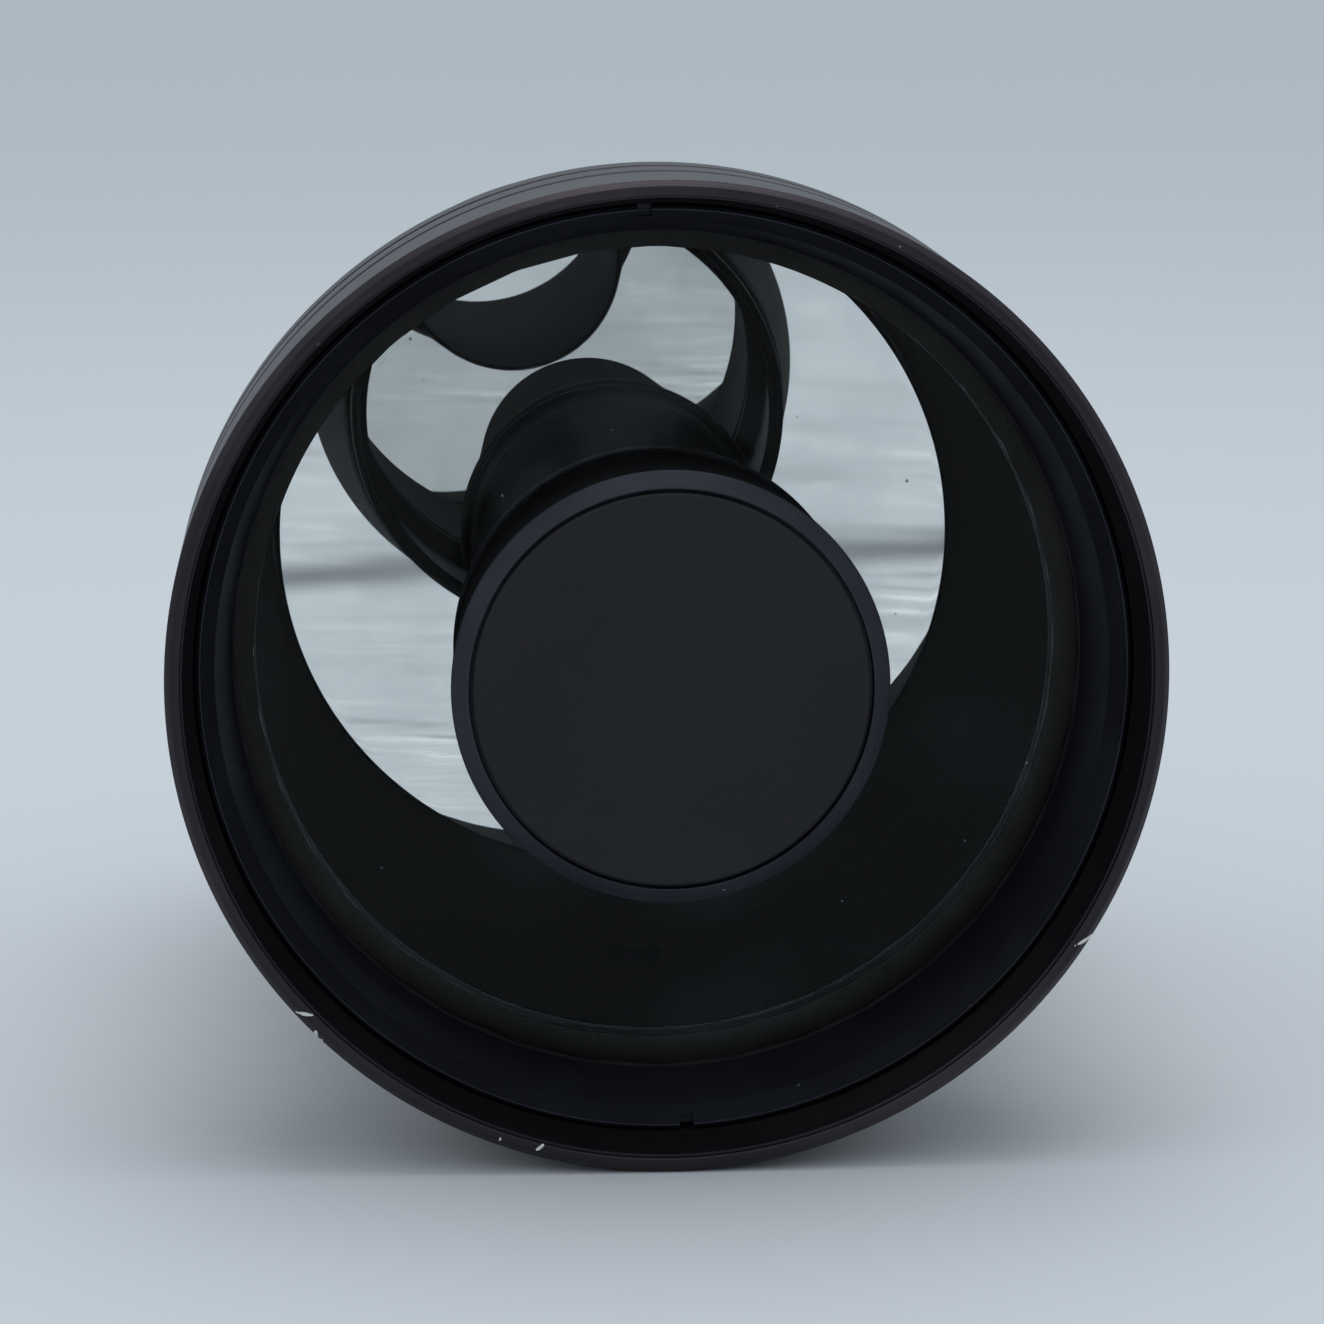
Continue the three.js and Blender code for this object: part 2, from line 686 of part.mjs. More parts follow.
function portRing() {
  const ring = turn([
    [portBore, portFront],
    [portFlangeRadius, portFront],
    [portFlangeRadius, portFront + portFlange],
    [portBossRadius, portFront + portFlange],
    [portBossRadius, portFront + portLength],
    [portBore, portFront + portLength],
  ]);
  const hole = rod(portScrewRadius + gap, portFront - past, portFront + portFlange + past);
  let drilled = ring;
  for (const [x, z] of circlePoints(portScrews, portScrewCircle, portScrewsFrom)) {
    drilled = drilled.subtract(shifted(hole, x, z));
  }
  return drilled;
}

add("primary_baffle_tube", baffleTube(), "flatBlack");
for (const [i, [x, z]] of circlePoints(baffleScrews, baffleScrewCircle).entries()) {
  const bolt = screw(
    baffleScrewRadius, baffleScrewHead, baffleScrewHeadHeight,
    baffleScrewTip, floorRear - gap - baffleScrewHeadHeight,
  );
  add(`baffle_screw_${i + 1}`, shifted(bolt, x, z), "steel");
}
add("rear_cell", rearCell(), "tubePaint");
for (const [i, angle] of rearScrewAngles.entries()) {
  const bolt = screw(
    smallScrewRadius, smallHeadRadius, smallHeadHeight,
    tubeBore - cellNeck, tubeRadius + gap,
  );
  add(`rear_cell_screw_${i + 1}`, placed(bolt, radialMatrix(angle, rearScrewAt)), "steel");
}
add("rear_port_ring", portRing(), "blueBlack");
for (const [i, [x, z]] of circlePoints(portScrews, portScrewCircle, portScrewsFrom).entries()) {
  const bolt = screw(
    portScrewRadius, portScrewHead, portScrewHeadHeight,
    portScrewTip, portFront + portFlange + gap,
  );
  add(`port_screw_${i + 1}`, shifted(bolt, x, z), "steel");
}

// ---------------------------------------------------------------- focusing drive
const collarFront = floorFront;
const bushingFront = collarFront + rodCollarLength + gap;
const bushingPlate = floorRear + gap;
const washerFront = bushingPlate + bushingFlange + gap;
const rodFront = mirrorBack + focusTravel + rodRoom;
const rodBoreEnd = knobRear - knobFace;

function focusRod() {
  return shifted(turn([
    [0, rodFront],
    [rodRadius, rodFront],
    [rodRadius, collarFront],
    [rodCollar, collarFront],
    [rodCollar, collarFront + rodCollarLength],
    [rodRadius, collarFront + rodCollarLength],
    [rodRadius, rodBoreEnd - gap],
    [0, rodBoreEnd - gap],
  ], small), focusX, focusZ);
}

function bushing() {
  return shifted(turn([
    [rodRadius + slideGap, bushingFront],
    [bushingRadius, bushingFront],
    [bushingRadius, bushingPlate],
    [bushingFlangeRadius, bushingPlate],
    [bushingFlangeRadius, bushingPlate + bushingFlange],
    [rodRadius + slideGap, bushingPlate + bushingFlange],
  ], small), focusX, focusZ);
}

function knob() {
  return shifted(turn([
    [rodRadius + gap, knobFront],
    [knobRadius, knobFront],
    [knobRadius, knobRear - knobChamfer],
    [knobRadius - knobChamfer, knobRear],
    [0, knobRear],
    [0, rodBoreEnd],
    [rodRadius + gap, rodBoreEnd],
  ], small), focusX, focusZ);
}

const gripFront = knobFront + (knobLength - gripLength) / 2;
const washerRadius = bushingFlangeRadius - washerInset;
add("focus_rod", focusRod(), "steel");
add("focus_bushing", bushing(), "brass");
add("focus_thrust_washer",
  shifted(tubeBetween(rodRadius + gap, washerRadius, washerFront, washerFront + washerThickness, small),
    focusX, focusZ), "nylon");
add("focus_knob", knob(), "blueBlack");
add("focus_grip",
  shifted(tubeBetween(knobRadius + gap, knobRadius + gap + gripWall, gripFront,
    gripFront + gripLength, small), focusX, focusZ), "rubber");

export default telescope;
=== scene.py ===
import bpy
import bmesh
import json
import math
from mathutils import Matrix, Vector

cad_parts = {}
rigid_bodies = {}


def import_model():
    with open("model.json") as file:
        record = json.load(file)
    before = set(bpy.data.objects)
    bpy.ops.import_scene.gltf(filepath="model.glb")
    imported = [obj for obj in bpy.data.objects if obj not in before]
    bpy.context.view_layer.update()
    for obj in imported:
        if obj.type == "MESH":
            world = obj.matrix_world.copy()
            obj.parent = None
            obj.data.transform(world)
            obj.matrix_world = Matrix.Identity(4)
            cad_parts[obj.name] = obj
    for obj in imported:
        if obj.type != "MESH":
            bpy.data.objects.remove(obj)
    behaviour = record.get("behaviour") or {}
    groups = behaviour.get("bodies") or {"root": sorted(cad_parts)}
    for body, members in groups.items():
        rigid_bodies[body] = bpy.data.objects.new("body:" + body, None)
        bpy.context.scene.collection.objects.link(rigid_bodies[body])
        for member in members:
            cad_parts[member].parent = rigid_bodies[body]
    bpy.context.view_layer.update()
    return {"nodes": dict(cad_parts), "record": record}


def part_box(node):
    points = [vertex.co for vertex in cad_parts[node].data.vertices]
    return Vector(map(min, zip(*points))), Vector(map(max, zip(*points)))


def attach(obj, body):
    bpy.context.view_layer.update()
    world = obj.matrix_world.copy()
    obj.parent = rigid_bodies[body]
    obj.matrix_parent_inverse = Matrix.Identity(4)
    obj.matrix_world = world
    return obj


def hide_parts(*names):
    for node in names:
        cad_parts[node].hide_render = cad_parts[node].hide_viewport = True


for leftover in list(bpy.data.objects):
    bpy.data.objects.remove(leftover)
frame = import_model()
cellLow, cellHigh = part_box("front_cell")
axisHeight = (cellLow.z + cellHigh.z) / 2  # the optical axis runs along Y at this height
millimetre = 0.001
scene = bpy.context.scene
print("frame loaded")


# camera, floor and light
studio = {
    "cameraPlace": (-0.0344, -0.5903, 0.1493),
    "cameraTarget": (-0.0005, -0.06865, 0.0574),
    "lens": 128.7,
    "sensor": 36.0,
    "floorRadius": 7.0,
    "floorColour": (0.69, 0.705, 0.725),
    "floorCrumpleHighlight": 0.08,         # painted highlights of soft creases in the white cloth in front of the tube
    "clothFrom": -0.25,           # the cloth is bunched ahead of here, and flat behind clothTo; its painted crease light keeps to the bunched part
    "clothTo": -0.19,
    "creaseMiddle": 0.015,        # the painted shade and highlights of its small creases keep to a patch, in front of the tube
    "creaseNear": 0.03,
    "creaseFar": 0.06,
    "creaseStart": -0.42,
    "creaseFull": -0.37,
    "creaseScale": 260.0,
    "seamPlace": -0.3201,         # a painted shadow line of a fold in the cloth, short and slanting, well ahead of the tube
    "seamSlope": 0.61,
    "seamWidth": 0.0040,
    "seamFrom": -0.040,
    "seamTo": 0.075,
    "skyLow": (0.405, 0.470, 0.520),
    "skyHigh": (0.78, 0.87, 0.945),
    "skyStrength": 0.84,
    "seamFade": 0.02,
    "topLight": 3.4,
    "topPlace": (0.05, 0.05, 1.1),
    "topSize": 0.9,
    "sideLight": 0.8,
    "sidePlace": (-1.0, -0.7, 0.7),
    "sideSize": 0.7,
}


def makeCamera():
    data = bpy.data.cameras.new("camera")
    data.lens = studio["lens"]
    data.sensor_width = studio["sensor"]
    data.clip_start = 0.01
    data.clip_end = 30
    camera = bpy.data.objects.new("camera", data)
    scene.collection.objects.link(camera)
    place = Vector(studio["cameraPlace"])
    camera.location = place
    camera.rotation_mode = "QUATERNION"
    camera.rotation_quaternion = (Vector(studio["cameraTarget"]) - place).to_track_quat("-Z", "Y")
    scene.camera = camera


def addLight(name, place, target, size, power, colour):
    data = bpy.data.lights.new(name, "AREA")
    data.shape = "DISK"
    data.size = size
    data.energy = power
    data.color = colour
    light = bpy.data.objects.new(name, data)
    scene.collection.objects.link(light)
    light.location = place
    light.rotation_mode = "QUATERNION"
    light.rotation_quaternion = (Vector(target) - Vector(place)).to_track_quat("-Z", "Y")


def makeSky():
    world = bpy.data.worlds.new("studioSky")
    scene.world = world
    world.use_nodes = True
    nodes, links = world.node_tree.nodes, world.node_tree.links
    back = nodes["Background"]
    place = nodes.new("ShaderNodeTexCoord")
    split = nodes.new("ShaderNodeSeparateXYZ")
    ramp = nodes.new("ShaderNodeValToRGB")
    ramp.color_ramp.elements[0].color = (*studio["skyLow"], 1)
    ramp.color_ramp.elements[1].color = (*studio["skyHigh"], 1)
    ramp.color_ramp.elements[1].position = 0.75
    links.new(place.outputs["Generated"], split.inputs[0])
    links.new(split.outputs["Z"], ramp.inputs[0])
    links.new(ramp.outputs[0], back.inputs["Color"])
    back.inputs["Strength"].default_value = studio["skyStrength"]


# shader helpers
def node(tree, kind, **sockets):
    made = tree.nodes.new("ShaderNode" + kind)
    for name, value in sockets.items():
        made.inputs[name.replace("_", " ")].default_value = value
    return made


def maths(tree, operation, first, second=None, third=None, clamp=False):
    made = tree.nodes.new("ShaderNodeMath")
    made.operation = operation
    made.use_clamp = clamp
    for i, value in enumerate((first, second, third)):
        if value is None:
            continue
        if isinstance(value, (int, float)):
            made.inputs[i].default_value = value
        else:
            tree.links.new(value, made.inputs[i])
    return made.outputs[0]


def spread(tree, value, low, high, start=0.0, end=1.0):
    made = tree.nodes.new("ShaderNodeMapRange")
    made.interpolation_type = "SMOOTHSTEP"
    tree.links.new(value, made.inputs["Value"])
    for name, number in (("From Min", low), ("From Max", high), ("To Min", start), ("To Max", end)):
        made.inputs[name].default_value = number
    return made.outputs["Result"]


def blendColour(tree, mask, first, second):
    made = tree.nodes.new("ShaderNodeMix")
    made.data_type = "RGBA"
    for value, socket in ((first, made.inputs[6]), (second, made.inputs[7])):
        if isinstance(value, tuple):
            socket.default_value = (*value, 1)
        else:
            tree.links.new(value, socket)
    tree.links.new(mask, made.inputs[0])
    return made.outputs[2]


def newGroup(name, inputs, outputs):
    tree = bpy.data.node_groups.new(name, "ShaderNodeTree")
    for label, value in inputs.items():
        socket = tree.interface.new_socket(label, in_out="INPUT", socket_type="NodeSocketFloat")
        socket.default_value = value
    for label in outputs:
        tree.interface.new_socket(label, in_out="OUTPUT", socket_type="NodeSocketFloat")
    start = tree.nodes.new("NodeGroupInput")
    end = tree.nodes.new("NodeGroupOutput")
    return tree, start.outputs, end.inputs


def useGroup(tree, group, **values):
    made = tree.nodes.new("ShaderNodeGroup")
    made.node_tree = group
    for label, value in values.items():
        made.inputs[label].default_value = value
    return made.outputs


def objectPlace(tree):
    place = tree.nodes.new("ShaderNodeTexCoord")
    return place.outputs["Object"]


def turnedPlace(tree):
    # distance from the optical axis, place along it and angle round it
    split = tree.nodes.new("ShaderNodeSeparateXYZ")
    tree.links.new(objectPlace(tree), split.inputs[0])
    height = maths(tree, "SUBTRACT", split.outputs["Z"], axisHeight)
    across = maths(tree, "MULTIPLY", split.outputs["X"], split.outputs["X"])
    radius = maths(tree, "SQRT", maths(tree, "MULTIPLY_ADD", height, height, across))
    angle = maths(tree, "ARCTAN2", height, split.outputs["X"])
    return radius, split.outputs["Y"], angle


def makeTurningGroup():
    # fine rings left by the lathe: round the flat faces and along the outer sides
    tree, given, result = newGroup(
        "lathe marks", {"Rings per metre": 6000.0, "Broad rings": 900.0}, ("Height", "Streak"))
    radius, along, _ = turnedPlace(tree)
    normal = tree.nodes.new("ShaderNodeNewGeometry")
    facing = tree.nodes.new("ShaderNodeSeparateXYZ")
    tree.links.new(normal.outputs["Normal"], facing.inputs[0])
    isFace = maths(tree, "GREATER_THAN", maths(tree, "ABSOLUTE", facing.outputs["Y"]), 0.75)
    mix = tree.nodes.new("ShaderNodeMix")
    tree.links.new(isFace, mix.inputs[0])
    tree.links.new(along, mix.inputs[2])
    tree.links.new(radius, mix.inputs[3])
    for label, output in (("Rings per metre", "Height"), ("Broad rings", "Streak")):
        noise = tree.nodes.new("ShaderNodeTexNoise")
        noise.noise_dimensions = "1D"
        noise.inputs["Scale"].default_value = 1.0
        noise.inputs["Detail"].default_value = 3.0
        tree.links.new(maths(tree, "MULTIPLY", mix.outputs[0], given[label]), noise.inputs["W"])
        tree.links.new(noise.outputs[0], result[output])
    return tree


def makeGrainGroup():
    # cloudy unevenness and a fine grain
    tree, given, result = newGroup(
        "grain", {"Fine scale": 3000.0, "Cloud scale": 40.0}, ("Grain", "Cloud"))
    for label, output, detail in (("Fine scale", "Grain", 2.0), ("Cloud scale", "Cloud", 6.0)):
        noise = node(tree, "TexNoise", Detail=detail)
        tree.links.new(objectPlace(tree), noise.inputs["Vector"])
        tree.links.new(given[label], noise.inputs["Scale"])
        tree.links.new(noise.outputs[0], result[output])
    return tree


def makeDustGroup():
    # specks of dust, sparser where the threshold is small
    tree, given, result = newGroup(
        "dust", {"Scale": 900.0, "Size": 0.12, "Share": 0.35}, ("Specks",))
    cells = tree.nodes.new("ShaderNodeTexVoronoi")
    tree.links.new(objectPlace(tree), cells.inputs["Vector"])
    tree.links.new(given["Scale"], cells.inputs["Scale"])
    split = tree.nodes.new("ShaderNodeSeparateColor")
    tree.links.new(cells.outputs["Color"], split.inputs[0])
    chosen = maths(tree, "LESS_THAN", split.outputs[0], given["Share"])
    size = maths(tree, "MULTIPLY", given["Size"], split.outputs[1])
    inside = maths(tree, "LESS_THAN", cells.outputs["Distance"], size)
    tree.links.new(maths(tree, "MULTIPLY", chosen, inside), result["Specks"])
    return tree


def makeChipGroup():
    # a ragged chip of bare metal at an angle round the axis and a place along it
    tree, given, result = newGroup(
        "chip", {"Angle": 0.0, "Along": 0.0, "Radius": 0.055, "Size": 0.001, "Slant": 0.0}, ("Mask",))
    radius, along, angle = turnedPlace(tree)
    around = maths(tree, "MULTIPLY", maths(tree, "SUBTRACT", angle, given["Angle"]), radius)
    ahead = maths(tree, "SUBTRACT", along, given["Along"])
    out = maths(tree, "SUBTRACT", radius, given["Radius"])
    lean = maths(tree, "MULTIPLY_ADD", out, given["Slant"], around)
    flat = maths(tree, "MULTIPLY_ADD", out, out, maths(tree, "MULTIPLY", ahead, ahead))
    wide = maths(tree, "MULTIPLY", maths(tree, "MULTIPLY", lean, lean), 3.5)
    distance = maths(tree, "SQRT", maths(tree, "ADD", wide, maths(tree, "MULTIPLY", flat, 0.8)))
    noise = node(tree, "TexNoise", Scale=1400.0, Detail=3.0)
    tree.links.new(objectPlace(tree), noise.inputs["Vector"])
    ragged = maths(tree, "MULTIPLY", distance, maths(tree, "ADD", noise.outputs[0], 0.55))
    tree.links.new(maths(tree, "LESS_THAN", ragged, given["Size"]), result["Mask"])
    return tree


turningGroup = makeTurningGroup()
grainGroup = makeGrainGroup()
dustGroup = makeDustGroup()
chipGroup = makeChipGroup()


def newMaterial(name, **sockets):
    material = bpy.data.materials.new(name)
    material.use_nodes = True
    shader = material.node_tree.nodes["Principled BSDF"]
    for label, value in sockets.items():
        value = (*value, 1) if isinstance(value, tuple) else value
        shader.inputs[label.replace("_", " ")].default_value = value
    return material, material.node_tree, shader


def addBump(tree, shader, height, distance, strength=1.0):
    bump = node(tree, "Bump", Distance=distance, Strength=strength)
    tree.links.new(height, bump.inputs["Height"])
    tree.links.new(bump.outputs[0], shader.inputs["Normal"])


# finishes
def anodised(name, look):
    # dyed anodised aluminium: lathe marks, faded patches, dust and, where given, chips to bare metal
    material, tree, shader = newMaterial(name, Metallic=look["metallic"])
    shader.inputs["Specular IOR Level"].default_value = look["specular"]
    marks = useGroup(tree, turningGroup, **{"Rings per metre": look["rings"], "Broad rings": look["broad"]})
    grain = useGroup(tree, grainGroup, **{"Fine scale": 2600.0, "Cloud scale": look["cloud"]})
    faded = spread(tree, grain["Cloud"], 0.40, 0.66)
    colour = blendColour(tree, faded, look["colour"], look["faded"])
    streak = spread(tree, marks["Streak"], 0.35, 0.70, 0.0, look["streak"])
    colour = blendColour(tree, streak, colour, look["faded"])
    specks = useGroup(tree, dustGroup, Scale=520.0, Size=0.11, Share=look["dust"])["Specks"]
    colour = blendColour(tree, specks, colour, (0.30, 0.30, 0.31))
    rough = maths(tree, "MULTIPLY_ADD", marks["Streak"], 0.16, look["rough"])
    for chip in look.get("chips", ()):
        mask = useGroup(tree, chipGroup, Angle=math.radians(chip[0]), Along=chip[1], Radius=chip[2],
                        Size=chip[3], Slant=chip[4])["Mask"]
        colour = blendColour(tree, mask, colour, (0.74, 0.73, 0.71))
        rough = maths(tree, "MAXIMUM", rough, maths(tree, "MULTIPLY", mask, 0.6))
    tree.links.new(colour, shader.inputs["Base Color"])
    tree.links.new(rough, shader.inputs["Roughness"])
    height = maths(tree, "MULTIPLY_ADD", grain["Grain"], 0.35, marks["Height"])
    addBump(tree, shader, height, look["bump"])
    return material


def painted(name, colour, lift, rough, grainScale, bump, specular=0.4):
    # matt or textured paint with cloudy wear and dust
    material, tree, shader = newMaterial(name)
    shader.inputs["Specular IOR Level"].default_value = specular
    grain = useGroup(tree, grainGroup, **{"Fine scale": grainScale, "Cloud scale": 45.0})
    tone = blendColour(tree, spread(tree, grain["Cloud"], 0.35, 0.70), colour, lift)
    specks = useGroup(tree, dustGroup, Scale=480.0, Size=0.08, Share=0.05)["Specks"]
    tone = blendColour(tree, specks, tone, (0.16, 0.16, 0.16))
    tree.links.new(tone, shader.inputs["Base Color"])
    worn = maths(tree, "MULTIPLY_ADD", grain["Cloud"], 0.14, rough - 0.07)
    tree.links.new(worn, shader.inputs["Roughness"])
    addBump(tree, shader, grain["Grain"], bump)
    return material


def turnedMetal(name, colour, tarnish, rough):
    material, tree, shader = newMaterial(name, Metallic=1.0)
    grain = useGroup(tree, grainGroup, **{"Fine scale": 5000.0, "Cloud scale": 260.0})
    tree.links.new(blendColour(tree, spread(tree, grain["Cloud"], 0.4, 0.7), colour, tarnish),
                   shader.inputs["Base Color"])
    tree.links.new(maths(tree, "MULTIPLY_ADD", grain["Grain"], 0.2, rough), shader.inputs["Roughness"])
    addBump(tree, shader, grain["Grain"], 0.000006)
    return material


def mirrorCoat():
    # vacuum-coated aluminium, faintly hazed and speckled
    material, tree, shader = newMaterial("mirrorCoat", Metallic=1.0)
    grain = useGroup(tree, grainGroup, **{"Fine scale": 2400.0, "Cloud scale": 70.0})
    haze = spread(tree, grain["Cloud"], 0.38, 0.68)
    tone = blendColour(tree, haze, (0.84, 0.845, 0.84), (0.76, 0.77, 0.77))
    specks = useGroup(tree, dustGroup, Scale=330.0, Size=0.13, Share=0.10)["Specks"]
    tone = blendColour(tree, specks, tone, (0.30, 0.32, 0.34))
    tree.links.new(tone, shader.inputs["Base Color"])
    tree.links.new(spread(tree, grain["Cloud"], 0.4, 0.9, 0.006, 0.02), shader.inputs["Roughness"])
    return material


# the index and specular are set far below real glass, to keep the sky's reflection off the plate as an
# anti-reflection coat does; the plate is flat, so this hardly moves what is seen through it
glassLook = {"tint": (0.985, 0.995, 0.99), "index": 1.12, "specular": 0.05, "haze": 0.004}


def correctorGlass():
    material, tree, shader = newMaterial(
        "correctorGlass", Transmission_Weight=1.0, IOR=glassLook["index"], Base_Color=glassLook["tint"])
    shader.inputs["Specular IOR Level"].default_value = glassLook["specular"]
    grain = useGroup(tree, grainGroup, **{"Fine scale": 900.0, "Cloud scale": 30.0})
    haze = spread(tree, grain["Cloud"], 0.5, 1.0, 0.0, glassLook["haze"])
    tree.links.new(haze, shader.inputs["Roughness"])
    return material


veilLook = {
    "haze": 0.0045, "smudge": 0.011, "streak": 0.007, "fine": 0.008, "specks": 0.30,
    "hub": 0.030, "hubFrom": 0.024, "hubTo": 0.034,  # smudges close to the secondary housing
}


def dustVeil():
    # thin haze, smudges, wipe streaks and specks on the front of the corrector
    material, tree, shader = newMaterial("dustVeil", Base_Color=(0.62, 0.68, 0.70), Roughness=0.9)
    shader.inputs["Specular IOR Level"].default_value = 0.0
    grain = useGroup(tree, grainGroup, **{"Fine scale": 620.0, "Cloud scale": 55.0})
    smudge = spread(tree, grain["Cloud"], 0.52, 0.78, 0.0, veilLook["smudge"])
    radius, _, _ = turnedPlace(tree)
    nearHub = spread(tree, radius, veilLook["hubFrom"], veilLook["hubTo"], veilLook["hub"], 0.0)
    hub = maths(tree, "MULTIPLY", nearHub, spread(tree, grain["Cloud"], 0.42, 0.62))
    wipe = node(tree, "TexNoise", Scale=1.0, Detail=4.0)
    stretch = node(tree, "Mapping", Scale=(14.0, 1.0, 420.0))
    tree.links.new(objectPlace(tree), stretch.inputs["Vector"])
    tree.links.new(stretch.outputs[0], wipe.inputs["Vector"])
    streak = spread(tree, wipe.outputs[0], 0.58, 0.80, 0.0, veilLook["streak"])
    specks = useGroup(tree, dustGroup, Scale=560.0, Size=0.10, Share=0.05)["Specks"]
    fine = useGroup(tree, dustGroup, Scale=1500.0, Size=0.22, Share=0.22)["Specks"]
    veil = maths(tree, "ADD", maths(tree, "ADD", smudge, streak), hub)
    veil = maths(tree, "ADD", veil, veilLook["haze"])
    veil = maths(tree, "MULTIPLY_ADD", fine, veilLook["fine"], veil)
    veil = maths(tree, "MULTIPLY_ADD", specks, veilLook["specks"], veil, clamp=True)
    tree.links.new(veil, shader.inputs["Alpha"])
    return material


def corkPad():
    material, tree, shader = newMaterial("corkPad", Roughness=0.95)
    cells = node(tree, "TexVoronoi", Scale=900.0)
    tree.links.new(objectPlace(tree), cells.inputs["Vector"])
    tree.links.new(blendColour(tree, cells.outputs["Distance"], (0.30, 0.17, 0.08), (0.52, 0.36, 0.20)),
                   shader.inputs["Base Color"])
    addBump(tree, shader, cells.outputs["Distance"], 0.0002)
    return material


cellDepth = cellLow.y
cellOuter = (cellHigh.x - cellLow.x) / 2
finishes = {
    "anodised_front": anodised("fadedAnodise", {
        "colour": (0.026, 0.0225, 0.028), "faded": (0.046, 0.037, 0.043), "metallic": 0.75, "specular": 0.4,
        "rough": 0.30, "rings": 5200.0, "broad": 1300.0, "cloud": 34.0, "streak": 0.55, "dust": 0.07,
        "bump": 0.00003, "chips": (
            (-138.0, cellDepth + 0.0004, cellOuter - 0.0010, 0.00066, 1.2),
            (-135.4, cellDepth + 0.0007, cellOuter - 0.0002, 0.00058, -0.8),
            (-134.4, cellDepth + 0.0009, cellOuter, 0.00040, 0.0),
            (-105.6, cellDepth, cellOuter - 0.0013, 0.00048, 0.6),
            (-110.4, cellDepth, cellOuter - 0.0009, 0.00020, 0.0),
            (-32.4, cellDepth + 0.0005, cellOuter - 0.0005, 0.00082, -1.5),
        )}),
    "anodised_inner": anodised("blueBlackAnodise", {
        "colour": (0.0225, 0.0235, 0.032), "faded": (0.033, 0.035, 0.045), "metallic": 0.6, "specular": 0.35,
        "rough": 0.36, "rings": 5600.0, "broad": 1500.0, "cloud": 60.0, "streak": 0.4, "dust": 0.04,
        "bump": 0.000022}),
    "flat_black": painted(
        "flatBlack", (0.0105, 0.0105, 0.0130), (0.0135, 0.0135, 0.0165), 0.62, 3600.0, 0.00004, 0.26),
    "tube_paint": painted(
        "blackEnamel", (0.014, 0.014, 0.0155), (0.022, 0.022, 0.024), 0.42, 1500.0, 0.00022, 0.5),
    "corrector_glass": correctorGlass(),
    "mirror_coating": mirrorCoat(),
    "gasket_rubber": painted(
        "gasketRubber", (0.012, 0.012, 0.012), (0.022, 0.022, 0.022), 0.85, 1800.0, 0.00008, 0.3),
    "grip_rubber": painted(
        "gripRubber", (0.014, 0.014, 0.014), (0.028, 0.028, 0.028), 0.74, 1600.0, 0.00010, 0.35),
    "cork_pad": corkPad(),
    "screw_steel": turnedMetal("screwSteel", (0.36, 0.36, 0.37), (0.22, 0.21, 0.21), 0.28),
    "insert_brass": turnedMetal("insertBrass", (0.70, 0.52, 0.24), (0.42, 0.28, 0.12), 0.26),
    "nylon_washer": painted(
        "naturalNylon", (0.66, 0.65, 0.58), (0.58, 0.56, 0.49), 0.5, 900.0, 0.00004, 0.5),
}
interiorBlack = painted(
    "interiorBlack", (0.0045, 0.0048, 0.0058), (0.0065, 0.0068, 0.0080), 0.80, 2600.0, 0.00006, 0.12)
dustVeilFinish = dustVeil()
slotOf = {part["node"]: part["material_slot"] for part in frame["record"]["subparts"]}
bodyOf = {}
for bodyName, members in frame["record"]["behaviour"]["bodies"].items():
    for member in members:
        bodyOf[member] = bodyName
for name, cadNode in frame["nodes"].items():
    cadNode.data.materials.clear()
    cadNode.data.materials.append(finishes[slotOf[name]])
for name in ("foot_screw_1", "foot_screw_2"):
    frame["nodes"][name].data.materials[0] = interiorBlack  # blackened heads inside the tube
print("finishes made")


# mesh helpers
def mergedCopy(name):
    # the CAD node's triangles with their shared corners joined
    mesh = bmesh.new()
    mesh.from_mesh(frame["nodes"][name].data)
    bmesh.ops.remove_doubles(mesh, verts=mesh.verts, dist=0.002 * millimetre)
    return mesh


def sectionOf(name, axisX=0.0, axisZ=None):
    # outline of a turned node as (radius, place along Y) pairs, read on the +X side of its axis
    axisZ = axisHeight if axisZ is None else axisZ
    mesh = mergedCopy(name)
    tight = 0.002 * millimetre
    for normal, place, clear in (((1, 0, 0), (axisX, 0, 0), True), ((0, 0, 1), (0, 0, axisZ), False)):
        everything = mesh.verts[:] + mesh.edges[:] + mesh.faces[:]
        cut = bmesh.ops.bisect_plane(mesh, geom=everything, dist=tight, plane_co=place, plane_no=normal,
                                     clear_inner=clear)["geom_cut"]
    edges = [e for e in cut if isinstance(e, bmesh.types.BMEdge)]
    edges = [e for e in edges if max(v.co.x for v in e.verts) > axisX + 5 * tight]
    reach = {}
    for edge in edges:
        for corner in edge.verts:
            reach.setdefault(corner, []).append(edge.other_vert(corner))
    ends = [corner for corner, others in reach.items() if len(others) == 1]
    here = ends[0] if ends else next(iter(reach))
    walked = [here]
    before = None
    while True:
        onward = [other for other in reach[here] if other is not before and other is not walked[0]]
        if not onward:
            break
        before, here = here, onward[0]
        walked.append(here)
    points = [(max(0.0, corner.co.x - axisX), corner.co.y) for corner in walked]
    mesh.free()
    return withoutStraight(points, closed=not ends)


def withoutStraight(points, closed):
    kept = []
    count = len(points)
    for i, point in enumerate(points):
        if not closed and i in (0, count - 1):
            kept.append(point)
            continue
        before, after = Vector(points[i - 1]), Vector(points[(i + 1) % count])
        here = Vector(point)
        if (here - before).length < 1e-7 or (after - here).length < 1e-7:
            continue
        if abs((here - before).normalized().cross((after - here).normalized())) > 0.004:
            kept.append(point)
    return kept


